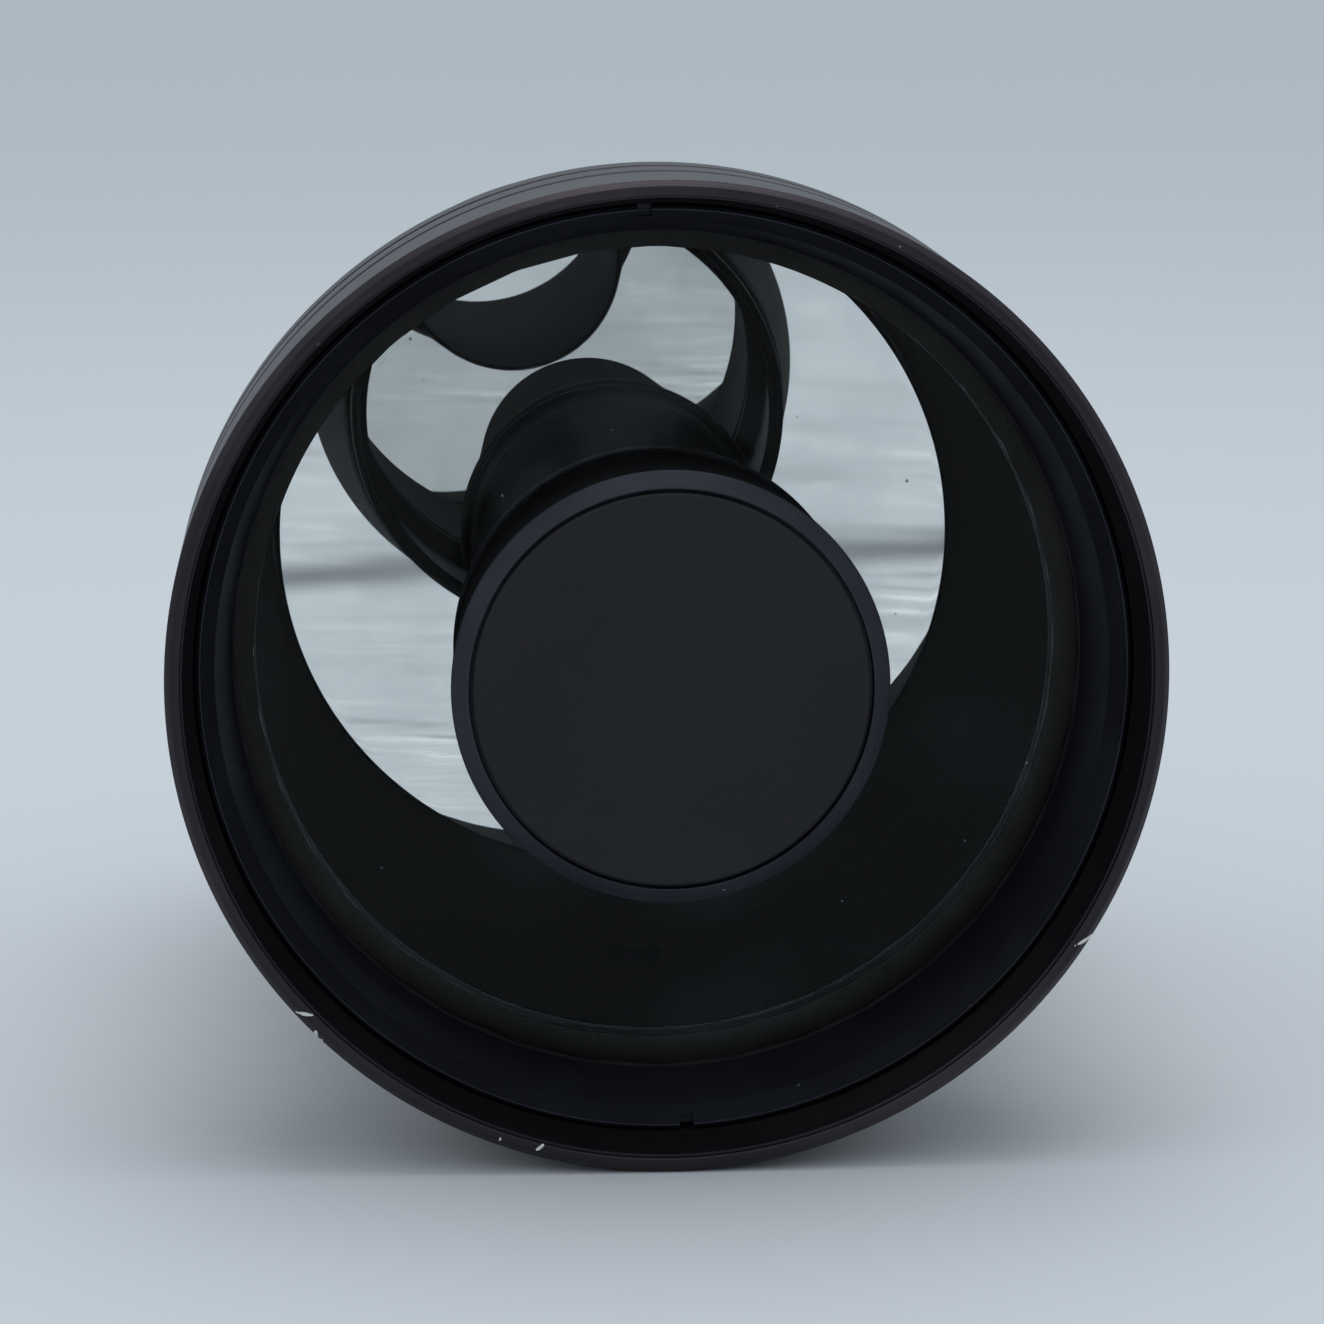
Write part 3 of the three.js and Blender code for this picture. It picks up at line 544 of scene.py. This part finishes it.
def rounded(points, radius, steps=3):
    # every corner of an outline turned into a short arc
    closed = points[0][0] > 0 or points[-1][0] > 0
    made = []
    count = len(points)
    for i, point in enumerate(points):
        if not closed and i in (0, count - 1):
            made.append(point)
            continue
        here = Vector(point)
        back, onward = Vector(points[i - 1]) - here, Vector(points[(i + 1) % count]) - here
        bend = math.pi - back.angle(onward)
        if bend < math.radians(12):
            made.append(point)
            continue
        reach = min(radius * math.tan(bend / 2), 0.42 * back.length, 0.42 * onward.length)
        start, end = here + back.normalized() * reach, here + onward.normalized() * reach
        for step in range(steps + 1):
            t = step / steps
            spot = (1 - t) ** 2 * start + 2 * t * (1 - t) * here + t ** 2 * end
            made.append((spot.x, spot.y))
    return made


def turned(name, points, segments=256, axisX=0.0, axisZ=None):
    # an outline turned about its axis into a closed mesh object
    axisZ = axisHeight if axisZ is None else axisZ
    closed = points[0][0] > 0 or points[-1][0] > 0
    mesh = bmesh.new()
    rings = []
    for radius, along in points:
        if radius < 1e-7:
            rings.append([mesh.verts.new((axisX, along, axisZ))])
            continue
        ring = []
        for i in range(segments):
            angle = math.tau * i / segments
            spot = (axisX + radius * math.cos(angle), along, axisZ + radius * math.sin(angle))
            ring.append(mesh.verts.new(spot))
        rings.append(ring)
    pairs = list(zip(rings, rings[1:]))
    if closed:
        pairs.append((rings[-1], rings[0]))
    for first, second in pairs:
        for i in range(segments):
            j = (i + 1) % segments
            near = [first[i % len(first)], first[j % len(first)]]
            far = [second[j % len(second)], second[i % len(second)]]
            corners = list(dict.fromkeys(near + far))
            if len(corners) > 2:
                mesh.faces.new(corners)
    bmesh.ops.recalc_face_normals(mesh, faces=mesh.faces)
    return meshObject(name, mesh)


def meshObject(name, mesh):
    data = bpy.data.meshes.new(name)
    mesh.to_mesh(data)
    mesh.free()
    made = bpy.data.objects.new(name, data)
    scene.collection.objects.link(made)
    return made


def applyModifiers(piece):
    # leaves the evaluated shape as a plain mesh
    bpy.context.view_layer.update()
    graph = bpy.context.evaluated_depsgraph_get()
    data = bpy.data.meshes.new_from_object(
        piece.evaluated_get(graph), preserve_all_data_layers=True, depsgraph=graph)
    piece.modifiers.clear()
    piece.data = data


def cutAway(piece, cutters):
    for cutter in cutters:
        change = piece.modifiers.new("cut", "BOOLEAN")
        change.operation = "DIFFERENCE"
        change.solver = "EXACT"
        change.object = cutter
    applyModifiers(piece)
    for cutter in cutters:
        bpy.data.objects.remove(cutter)


def smoothShaded(piece, sharpAngle=38.0):
    piece.data.shade_smooth()
    piece.data.set_sharp_from_angle(angle=math.radians(sharpAngle))
    weigh = piece.modifiers.new("weigh", "WEIGHTED_NORMAL")
    weigh.keep_sharp = True
    weigh.weight = 80
    applyModifiers(piece)


def finished(piece, cadNodes, finish=None):
    # material, body, slot and the CAD nodes that the piece stands for
    cadNodes = [cadNodes] if isinstance(cadNodes, str) else list(cadNodes)
    slot = slotOf[cadNodes[0]]
    piece.data.materials.clear()
    piece.data.materials.append(finish or finishes[slot])
    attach(piece, bodyOf[cadNodes[0]])
    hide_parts(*cadNodes)


def centreOf(name):
    low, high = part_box(name)
    return (low + high) / 2


def boreCutter(radius, start, end, segments=32):
    # a plain round cutter between two points
    way = Vector(end) - Vector(start)
    mesh = bmesh.new()
    turnIt = way.to_track_quat("Z", "Y").to_matrix().to_4x4()
    middle = Matrix.Translation((Vector(start) + Vector(end)) / 2)
    bmesh.ops.create_cone(mesh, cap_ends=True, segments=segments, radius1=radius, radius2=radius,
                          depth=way.length, matrix=middle @ turnIt)
    return meshObject("cutter", mesh)


def outwardOf(name):
    # direction from the axis to a node that sits on the tube's side
    centre = centreOf(name)
    return Vector((centre.x, 0, centre.z - axisHeight)).normalized()


def radialCutters(names, radius, inner, outer):
    cutters = []
    for name in names:
        out = outwardOf(name)
        foot = Vector((0, centreOf(name).y, axisHeight))
        cutters.append(boreCutter(radius, foot + out * inner, foot + out * outer))
    return cutters


def axialCutters(names, radius, front, rear):
    cutters = []
    for name in names:
        centre = centreOf(name)
        cutters.append(boreCutter(radius, (centre.x, front, centre.z), (centre.x, rear, centre.z)))
    return cutters


def numbered(stem, count):
    return [f"{stem}_{i + 1}" for i in range(count)]


# front cell
frontCell = {"edge": 0.30, "setScrewHole": 1.6, "holeInner": 46.0, "holeOuter": 58.0}


def makeFrontCell():
    piece = turned("frontCell", rounded(sectionOf("front_cell"), frontCell["edge"] * millimetre), 288)
    cutAway(piece, radialCutters(numbered("cell_set_screw", 3), frontCell["setScrewHole"] * millimetre,
                                 frontCell["holeInner"] * millimetre, frontCell["holeOuter"] * millimetre))
    smoothShaded(piece)
    finished(piece, "front_cell")


# retaining ring with its two spanner notches
retainingRing = {
    "edge": 0.22,
    "notchWidth": 1.6,
    "notchDepth": 2.8,
    "notchReach": 1.3,  # inwards from the ring's outside
    "notchTurn": 2.6,   # degrees from vertical
}


def makeRetainingRing():
    outline = rounded(sectionOf("corrector_retaining_ring"), retainingRing["edge"] * millimetre)
    piece = turned("retainingRing", outline, 288)
    low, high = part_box("corrector_retaining_ring")
    reach = retainingRing["notchReach"] * millimetre
    width = retainingRing["notchWidth"] * millimetre
    depth = retainingRing["notchDepth"] * millimetre
    size = Matrix.Diagonal((width, 2 * depth, 4 * reach, 1))
    lean = Matrix.Rotation(math.radians(-retainingRing["notchTurn"]), 4, "Y")
    cutters = []
    for side in (1, -1):
        mesh = bmesh.new()
        outward = Matrix.Translation((0, 0, side * (high.x + reach)))
        front = Matrix.Translation((0, low.y, axisHeight))
        bmesh.ops.create_cube(mesh, size=1, matrix=front @ lean @ outward @ size)
        cutters.append(meshObject("cutter", mesh))
    cutAway(piece, cutters)
    smoothShaded(piece)
    finished(piece, "corrector_retaining_ring")


# corrector and the dust on it
corrector = {"bevel": 0.35, "veilGap": 0.03, "veilThickness": 0.02, "veilHubRoom": 0.3, "veilRimRoom": 3.6}


def makeCorrector():
    outline = rounded(sectionOf("corrector_plate"), corrector["bevel"] * millimetre, 2)
    piece = turned("correctorPlate", outline, 288)
    smoothShaded(piece, 30)
    finished(piece, "corrector_plate")
    # its ground edges are blackened, at the rim and in the central hole
    piece.data.materials.append(interiorBlack)
    for face in piece.data.polygons:
        if abs(face.normal.y) < 0.9:
            face.material_index = 1
    low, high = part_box("corrector_plate")
    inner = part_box("secondary_gasket")[1].x + corrector["veilHubRoom"] * millimetre
    outer = high.x - corrector["veilRimRoom"] * millimetre
    rear = low.y - corrector["veilGap"] * millimetre
    front = rear - corrector["veilThickness"] * millimetre
    veil = turned("correctorDust", [(inner, front), (outer, front), (outer, rear), (inner, rear)], 192)
    smoothShaded(veil)
    veil.data.materials.append(dustVeilFinish)
    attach(veil, "tube")


# mirrors, with their faces made truly spherical
mirrors = {"steps": 28, "edge": 0.12}


def sphericalArc(rim, hole, steps):
    # points of the sphere centred on the axis that passes through two points of an outline
    centre = (rim[0] ** 2 - hole[0] ** 2 + rim[1] ** 2 - hole[1] ** 2) / (2 * (rim[1] - hole[1]))
    curve = math.hypot(rim[0], rim[1] - centre)
    side = 1 if rim[1] > centre else -1
    made = []
    for i in range(steps + 1):
        radius = rim[0] + (hole[0] - rim[0]) * i / steps
        made.append((radius, centre + side * math.sqrt(curve ** 2 - radius ** 2)))
    return made


def makePrimaryMirror():
    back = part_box("primary_mirror")[1].y
    outline = sectionOf("primary_mirror")
    hole = min(radius for radius, _ in outline)
    front = sorted(point for point in outline if point[1] < back - 2 * millimetre)
    holeEdge = min(front, key=lambda point: point[0])
    rimEdge = min(front, key=lambda point: point[1])
    bevelEnd = max(front, key=lambda point: point[0])
    dome = sphericalArc(rimEdge, holeEdge, mirrors["steps"])
    chamfer = mirrors["edge"] * 2 * millimetre
    outline = dome + [(hole, back - chamfer), (hole + chamfer, back), (bevelEnd[0] - chamfer, back),
                      (bevelEnd[0], back - chamfer), bevelEnd]
    piece = turned("primaryMirror", outline, 288)
    smoothShaded(piece, 20)
    finished(piece, "primary_mirror")


def makeSecondaryMirror():
    low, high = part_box("secondary_mirror")
    outline = sectionOf("secondary_mirror")
    rim = max((point for point in outline if point[1] > low.y + millimetre / 5), key=lambda point: point[0])
    vertex = (0.0, high.y)
    dome = sphericalArc(rim, vertex, mirrors["steps"])
    piece = turned("secondaryMirror", dome + [(0.0, low.y), (rim[0], low.y)], 192)
    smoothShaded(piece, 20)
    finished(piece, "secondary_mirror")


# plain turned pieces: name, CAD node, edge radius in millimetres, facets round
turnedPieces = (
    ("secondaryHousing", "secondary_housing", 0.16, 256),
    ("coverCap", "secondary_cover_cap", 0.12, 256),
    ("secondaryClipRing", "secondary_clip_ring", 0.12, 160),
    ("baffleInnerTube", "primary_baffle_tube", 0.12, 160),
    ("mirrorNut", "mirror_retaining_nut", 0.25, 160),
)


dullPieces = ("primary_baffle_tube", "mirror_retaining_nut")
housingPaint = {"sideFrom": 2.6, "allFrom": 22.6}  # millimetres behind the housing's front


def dullSides(piece):
    # the housing is painted dull where the primary mirror sees it: its side, and all of its rear end
    piece.data.materials.append(interiorBlack)
    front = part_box("secondary_housing")[0].y
    for face in piece.data.polygons:
        out = Vector((face.center.x, 0, face.center.z - axisHeight)).normalized()
        isSide = face.normal.dot(out) > 0.7
        behind = face.center.y - front
        if isSide and behind > housingPaint["sideFrom"] * millimetre:
            face.material_index = 1
        if behind > housingPaint["allFrom"] * millimetre:
            face.material_index = 1


def makeTurnedPieces():
    for name, source, edge, segments in turnedPieces:
        piece = turned(name, rounded(sectionOf(source), edge * millimetre), segments)
        if source == "primary_baffle_tube":
            low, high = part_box("baffle_screw_1")
            screws = numbered("baffle_screw", 3)
            shanks = axialCutters(screws, 1.5 * millimetre, low.y, high.y + millimetre)
            heads = axialCutters(screws, 2.4 * millimetre, high.y - 1.3 * millimetre,
                                 high.y + 2 * millimetre)
            cutAway(piece, shanks + heads)
        smoothShaded(piece)
        finished(piece, source, interiorBlack if source in dullPieces else None)
        if source == "secondary_housing":
            dullSides(piece)


# main tube
mainTube = {"edge": 0.25, "smallHole": 1.8, "footHole": 2.3, "inner": 43.0, "outer": 50.0}


def makeMainTube():
    piece = turned("mainTube", rounded(sectionOf("main_tube"), mainTube["edge"] * millimetre), 256)
    inner, outer = mainTube["inner"] * millimetre, mainTube["outer"] * millimetre
    small = numbered("rear_cell_screw", 4) + numbered("finder_hole_screw", 2)
    cutters = radialCutters(small, mainTube["smallHole"] * millimetre, inner, outer)
    cutters += radialCutters(numbered("foot_screw", 2), mainTube["footHole"] * millimetre, inner, outer)
    cutAway(piece, cutters)
    smoothShaded(piece)
    finished(piece, "main_tube")
    # the bore is painted dull: its faces look towards the axis
    piece.data.materials.append(interiorBlack)
    for face in piece.data.polygons:
        out = Vector((face.center.x, 0, face.center.z - axisHeight))
        if face.normal.dot(out.normalized()) < -0.5:
            face.material_index = 1


# rear cell and its port
rearCell = {
    "edge": 0.45,
    "tapped": 1.8,
    "tappedInner": 42.0,
    "tappedOuter": 47.0,
    "bushing": 4.7,
    "baffleHole": 1.5,
    "portHole": 1.3,
    "throughDepth": 9.0,
}
rearPort = {"edge": 0.28, "hole": 1.3}


def makeRearCell():
    piece = turned("rearCell", rounded(sectionOf("rear_cell"), rearCell["edge"] * millimetre), 256)
    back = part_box("rear_cell")[1].y
    front = back - rearCell["throughDepth"] * millimetre
    past = back + millimetre
    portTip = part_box("port_screw_1")[0].y
    cutters = radialCutters(numbered("rear_cell_screw", 4), rearCell["tapped"] * millimetre,
                            rearCell["tappedInner"] * millimetre, rearCell["tappedOuter"] * millimetre)
    cutters += axialCutters(["focus_bushing"], rearCell["bushing"] * millimetre, front, past)
    cutters += axialCutters(numbered("baffle_screw", 3), rearCell["baffleHole"] * millimetre, front, back)
    cutters += axialCutters(numbered("port_screw", 3), rearCell["portHole"] * millimetre, portTip, past)
    cutAway(piece, cutters)
    smoothShaded(piece)
    finished(piece, "rear_cell")


def makeRearPort():
    piece = turned("rearPortRing", rounded(sectionOf("rear_port_ring"), rearPort["edge"] * millimetre), 224)
    low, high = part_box("rear_port_ring")
    cutAway(piece, axialCutters(numbered("port_screw", 3), rearPort["hole"] * millimetre,
                                low.y - millimetre, high.y))
    smoothShaded(piece)
    finished(piece, "rear_port_ring")


# foot
def makeSoftened(name, source, width, sharp=30.0):
    # the CAD shape with its edges rounded by a bevel
    mesh = mergedCopy(source)
    bmesh.ops.dissolve_limit(mesh, angle_limit=math.radians(0.6), verts=mesh.verts, edges=mesh.edges)
    piece = meshObject(name, mesh)
    soften = piece.modifiers.new("soften", "BEVEL")
    soften.width = width * millimetre
    soften.segments = 3
    soften.limit_method = "ANGLE"
    soften.angle_limit = math.radians(sharp)
    soften.use_clamp_overlap = True
    applyModifiers(piece)
    smoothShaded(piece)
    finished(piece, source)


# Geometry Nodes: a template repeated on points, and ridges round an axis
def newGeometryTree(name, inputs):
    tree = bpy.data.node_groups.new(name, "GeometryNodeTree")
    tree.interface.new_socket("Geometry", in_out="OUTPUT", socket_type="NodeSocketGeometry")
    tree.interface.new_socket("Geometry", in_out="INPUT", socket_type="NodeSocketGeometry")
    for label, kind in inputs.items():
        tree.interface.new_socket(label, in_out="INPUT", socket_type="NodeSocket" + kind)
    return tree, tree.nodes.new("NodeGroupInput").outputs, tree.nodes.new("NodeGroupOutput").inputs


def runTree(piece, tree, values):
    change = piece.modifiers.new("repeat", "NODES")
    change.node_group = tree
    for item in tree.interface.items_tree:
        if item.in_out == "INPUT" and item.name in values:
            change[item.identifier] = values[item.name]
    applyModifiers(piece)


def makeScrewTree():
    # copies of one screw on points, turned to each point's outward direction and spun about it
    tree, given, result = newGeometryTree(
        "screws on points", {"Screw": "Object", "Finish": "Material", "Seed": "Int"})
    links = tree.links
    info = tree.nodes.new("GeometryNodeObjectInfo")
    links.new(given["Screw"], info.inputs["Object"])
    outward = tree.nodes.new("GeometryNodeInputNamedAttribute")
    outward.data_type = "FLOAT_VECTOR"
    outward.inputs["Name"].default_value = "outward"
    align = tree.nodes.new("FunctionNodeAlignRotationToVector")
    align.axis = "Z"
    links.new(outward.outputs["Attribute"], align.inputs["Vector"])
    spin = tree.nodes.new("FunctionNodeRandomValue")
    spin.inputs["Max"].default_value = 3.0
    links.new(given["Seed"], spin.inputs["Seed"])
    place = tree.nodes.new("GeometryNodeInstanceOnPoints")
    links.new(given["Geometry"], place.inputs["Points"])
    links.new(info.outputs["Geometry"], place.inputs["Instance"])
    links.new(align.outputs[0], place.inputs["Rotation"])
    turnEach = tree.nodes.new("GeometryNodeRotateInstances")
    combine = tree.nodes.new("ShaderNodeCombineXYZ")
    links.new(spin.outputs[1], combine.inputs["Z"])
    links.new(place.outputs[0], turnEach.inputs["Instances"])
    links.new(combine.outputs[0], turnEach.inputs["Rotation"])
    finishTree(tree, turnEach.outputs[0], given["Finish"], result)
    return tree


def finishTree(tree, geometry, finish, result):
    real = tree.nodes.new("GeometryNodeRealizeInstances")
    dress = tree.nodes.new("GeometryNodeSetMaterial")
    tree.links.new(geometry, real.inputs[0])
    tree.links.new(real.outputs[0], dress.inputs["Geometry"])
    tree.links.new(finish, dress.inputs["Material"])
    tree.links.new(dress.outputs[0], result["Geometry"])


def makeRidgeTree():
    # one ridge, the incoming mesh, repeated evenly round the Y axis through a centre
    tree, given, result = newGeometryTree(
        "ridges round an axis", {"Count": "Int", "Centre": "Vector", "Finish": "Material"})
    links = tree.links
    points = tree.nodes.new("GeometryNodePoints")
    links.new(given["Count"], points.inputs["Count"])
    links.new(given["Centre"], points.inputs["Position"])
    index = tree.nodes.new("GeometryNodeInputIndex")
    share = maths(tree, "DIVIDE", index.outputs[0], given["Count"])
    angle = maths(tree, "MULTIPLY", share, math.tau)
    combine = tree.nodes.new("ShaderNodeCombineXYZ")
    links.new(angle, combine.inputs["Y"])
    place = tree.nodes.new("GeometryNodeInstanceOnPoints")
    links.new(points.outputs[0], place.inputs["Points"])
    links.new(given["Geometry"], place.inputs["Instance"])
    links.new(combine.outputs[0], place.inputs["Rotation"])
    finishTree(tree, place.outputs[0], given["Finish"], result)
    return tree


screwTree = makeScrewTree()
ridgeTree = makeRidgeTree()


# screws
screwKinds = {
    # name: nodes, head radius, head height, shank radius, shank length, recess across flats, recess depth
    "rearCellScrews": (numbered("rear_cell_screw", 4), 2.7, 0.9, 1.5, 5.0, 1.6, 0.6),
    "finderHoleScrews": (numbered("finder_hole_screw", 2), 2.7, 0.9, 1.5, 2.8, 1.6, 0.6),
    "portScrews": (numbered("port_screw", 3), 1.7, 0.9, 1.0, 7.2, 1.1, 0.6),
    "baffleScrews": (numbered("baffle_screw", 3), 2.1, 1.0, 1.2, 4.2, 1.3, 0.6),
    "cellSetScrews": (numbered("cell_set_screw", 3), 0.0, 0.0, 1.5, 3.2, 1.5, 1.2),
}


def screwTemplate(head, height, shank, length, flats, recess):
    # made along +Z with the underside of the head at zero, and a hexagon recess in the top
    dome = 0.35 * height
    outline = [(0.0, -length), (shank - 0.3, -length), (shank, 0.3 - length), (shank, 0.0)]
    if head > 0:
        outline += [(head, 0.0), (head, height - dome), (head - dome, height), (0.0, height)]
    else:
        outline[-1] = (shank, -0.15)
        outline += [(shank - 0.15, 0.0), (0.0, 0.0)]
    scaled = [(radius * millimetre, along * millimetre) for radius, along in outline]
    screw = turned("screwTemplate", rounded(scaled, 0.12 * millimetre, 2), 40, axisZ=0.0)
    screw.data.transform(Matrix.Rotation(math.radians(90), 4, "X"))
    top = height * millimetre
    floor = top - recess * millimetre
    cutter = boreCutter(flats / math.sqrt(3) * millimetre, (0, 0, floor), (0, 0, top + millimetre), 6)
    cutAway(screw, [cutter])
    smoothShaded(screw)
    return screw


def makeScrews(name):
    nodes, head, height, shank, length, flats, recess = screwKinds[name]
    template = screwTemplate(head, height, shank, length, flats, recess)
    radial = name in ("rearCellScrews", "finderHoleScrews", "cellSetScrews")
    points, outs = [], []
    for source in nodes:
        centre = centreOf(source)
        if radial:
            out = outwardOf(source)
            corners = [v.co for v in frame["nodes"][source].data.vertices]
            reach = max((corner - Vector((0, 0, axisHeight))).dot(out) for corner in corners)
            seat = Vector((0, centre.y, axisHeight)) + out * (reach - height * millimetre)
        else:
            out = Vector((0, 1, 0))
            seat = Vector((centre.x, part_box(source)[1].y - height * millimetre, centre.z))
        points.append(seat)
        outs.append(out)
    data = bpy.data.meshes.new(name)
    data.from_pydata(points, [], [])
    stored = data.attributes.new("outward", "FLOAT_VECTOR", "POINT")
    for i, out in enumerate(outs):
        stored.data[i].vector = out
    piece = bpy.data.objects.new(name, data)
    scene.collection.objects.link(piece)
    runTree(piece, screwTree, {"Screw": template, "Finish": finishes["screw_steel"], "Seed": len(name)})
    bpy.data.objects.remove(template)
    finished(piece, nodes)


# focusing knob, its grip and the ridges on it
focusKnob = {
    "edge": 0.45,
    "gripEdge": 0.3,
    "ridges": 36,
    "ridgeWidth": 0.62,
    "ridgeHeight": 0.42,
    "ridgeInset": 0.5,
    "ridgeRound": 0.17,
}


def makeFocusKnob():
    centre = centreOf("focus_knob")
    outline = rounded(sectionOf("focus_knob", centre.x, centre.z), focusKnob["edge"] * millimetre)
    knob = turned("focusKnob", outline, 128, centre.x, centre.z)
    smoothShaded(knob)
    finished(knob, "focus_knob")
    low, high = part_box("focus_grip")
    outer = (high.x - low.x) / 2 - focusKnob["ridgeHeight"] * millimetre
    inner = min(radius for radius, _ in sectionOf("focus_grip", centre.x, centre.z))
    sleeve = [(inner, low.y), (outer, low.y), (outer, high.y), (inner, high.y)]
    grip = turned("focusGrip", rounded(sleeve, focusKnob["gripEdge"] * millimetre), 144, centre.x, centre.z)
    width = focusKnob["ridgeWidth"] * millimetre
    tall = 2 * focusKnob["ridgeHeight"] * millimetre
    length = high.y - low.y - 2 * focusKnob["ridgeInset"] * millimetre
    middle = Matrix.Translation((outer, (low.y + high.y) / 2, 0))
    mesh = bmesh.new()
    bmesh.ops.create_cube(mesh, size=1, matrix=middle @ Matrix.Diagonal((tall, length, width, 1)))
    bmesh.ops.bevel(mesh, geom=mesh.edges[:], offset=focusKnob["ridgeRound"] * millimetre, segments=2,
                    affect="EDGES", profile=0.5)
    ridges = meshObject("focusGripRidges", mesh)
    runTree(ridges, ridgeTree, {"Count": focusKnob["ridges"], "Centre": (centre.x, 0.0, centre.z),
                                "Finish": finishes["grip_rubber"]})
    join = grip.modifiers.new("join", "BOOLEAN")
    join.operation = "UNION"
    join.solver = "EXACT"
    join.object = ridges
    applyModifiers(grip)
    bpy.data.objects.remove(ridges)
    smoothShaded(grip)
    finished(grip, "focus_grip")


# floor
def makeFloor():
    mesh = bmesh.new()
    bmesh.ops.create_circle(mesh, cap_ends=True, segments=96, radius=studio["floorRadius"])
    floor = meshObject("floor", mesh)
    material, tree, shader = newMaterial("whiteCloth", Roughness=0.75)
    shader.inputs["Specular IOR Level"].default_value = 0.25
    cloud = node(tree, "TexNoise", Scale=55.0, Detail=5.0)
    tree.links.new(objectPlace(tree), cloud.inputs["Vector"])
    split = tree.nodes.new("ShaderNodeSeparateXYZ")
    tree.links.new(objectPlace(tree), split.inputs[0])
    ahead = spread(tree, split.outputs["Y"], studio["clothFrom"], studio["clothTo"], 1.0, 0.0)
    # painted highlights: soft patches ahead of the tube are lightened towards white, standing for light on
    # crumpled cloth
    crumpleHighlight = spread(tree, cloud.outputs[0], 0.42, 0.70, 0.0, studio["floorCrumpleHighlight"])
    crumpleHighlightAhead = maths(tree, "MULTIPLY", crumpleHighlight, ahead)
    tone = blendColour(tree, crumpleHighlightAhead, studio["floorColour"], (1.0, 1.0, 1.0))
    # painted shade and painted highlights of small creases, where the cloth is bunched in front of the tube
    stretch = node(tree, "Mapping", Scale=(0.45, 1.0, 1.0), Rotation=(0, 0, 0.35))
    fine = node(tree, "TexNoise", Scale=studio["creaseScale"], Detail=4.0, Distortion=1.2)
    tree.links.new(objectPlace(tree), stretch.inputs["Vector"])
    tree.links.new(stretch.outputs[0], fine.inputs["Vector"])
    patch = node(tree, "TexNoise", Scale=24.0, Detail=2.0)
    tree.links.new(objectPlace(tree), patch.inputs["Vector"])
    aside = maths(tree, "ABSOLUTE", maths(tree, "SUBTRACT", split.outputs["X"], studio["creaseMiddle"]))
    reach = spread(tree, aside, studio["creaseNear"], studio["creaseFar"], 1.0, 0.0)
    start = spread(tree, split.outputs["Y"], studio["creaseStart"], studio["creaseFull"])
    reach = maths(tree, "MULTIPLY", reach, start)
    bunched = maths(tree, "MULTIPLY", ahead, spread(tree, patch.outputs[0], 0.42, 0.58, 0.25, 1.0))
    bunched = maths(tree, "MULTIPLY", bunched, reach)
    creaseShade = maths(tree, "MULTIPLY", bunched, spread(tree, fine.outputs[0], 0.34, 0.50, 0.65, 0.0))
    creaseHighlight = maths(tree, "MULTIPLY", bunched, spread(tree, fine.outputs[0], 0.54, 0.64, 0.0, 1.0))
    # crease shade is painted grey and crease highlights are painted white into the cloth's colour
    tone = blendColour(tree, creaseShade, tone, (0.30, 0.32, 0.34))
    tone = blendColour(tree, creaseHighlight, tone, (1.0, 1.0, 1.0))
    across = split.outputs["X"]
    seamLine = maths(tree, "MULTIPLY_ADD", across, -studio["seamSlope"], studio["seamPlace"])
    fromSeam = maths(tree, "ABSOLUTE", maths(tree, "SUBTRACT", split.outputs["Y"], seamLine))
    foldShadow = spread(tree, fromSeam, 0.0, studio["seamWidth"], 0.82, 0.0)
    starts = spread(tree, across, studio["seamFrom"], studio["seamFrom"] + studio["seamFade"])
    ends = spread(tree, across, studio["seamTo"] - studio["seamFade"], studio["seamTo"], 1.0, 0.0)
    foldShadow = maths(tree, "MULTIPLY", foldShadow, maths(tree, "MULTIPLY", starts, ends))
    # the fold's shadow is painted as a dark line into the cloth's colour
    tone = blendColour(tree, foldShadow, tone, (0.16, 0.17, 0.18))
    tree.links.new(tone, shader.inputs["Base Color"])
    floor.data.materials.append(material)


makeCamera()
makeFloor()
makeSky()
addLight("topPanel", studio["topPlace"], (0, -0.02, 0.05), studio["topSize"], studio["topLight"],
         (0.96, 0.98, 1.0))
addLight("leftPanel", studio["sidePlace"], (0, 0, 0.05), studio["sideSize"], studio["sideLight"],
         (0.97, 0.98, 1.0))
print("studio made")
makeFrontCell()
makeRetainingRing()
makeCorrector()
print("front end made")
makePrimaryMirror()
makeSecondaryMirror()
makeTurnedPieces()
print("optics made")
makeMainTube()
makeRearCell()
makeRearPort()
makeSoftened("tripodFoot", "tripod_foot", 0.5)
print("tube and rear end made")
for screwName in screwKinds:
    makeScrews(screwName)
makeFocusKnob()
print("screws and focusing knob made")

scene.view_settings.view_transform = "Standard"
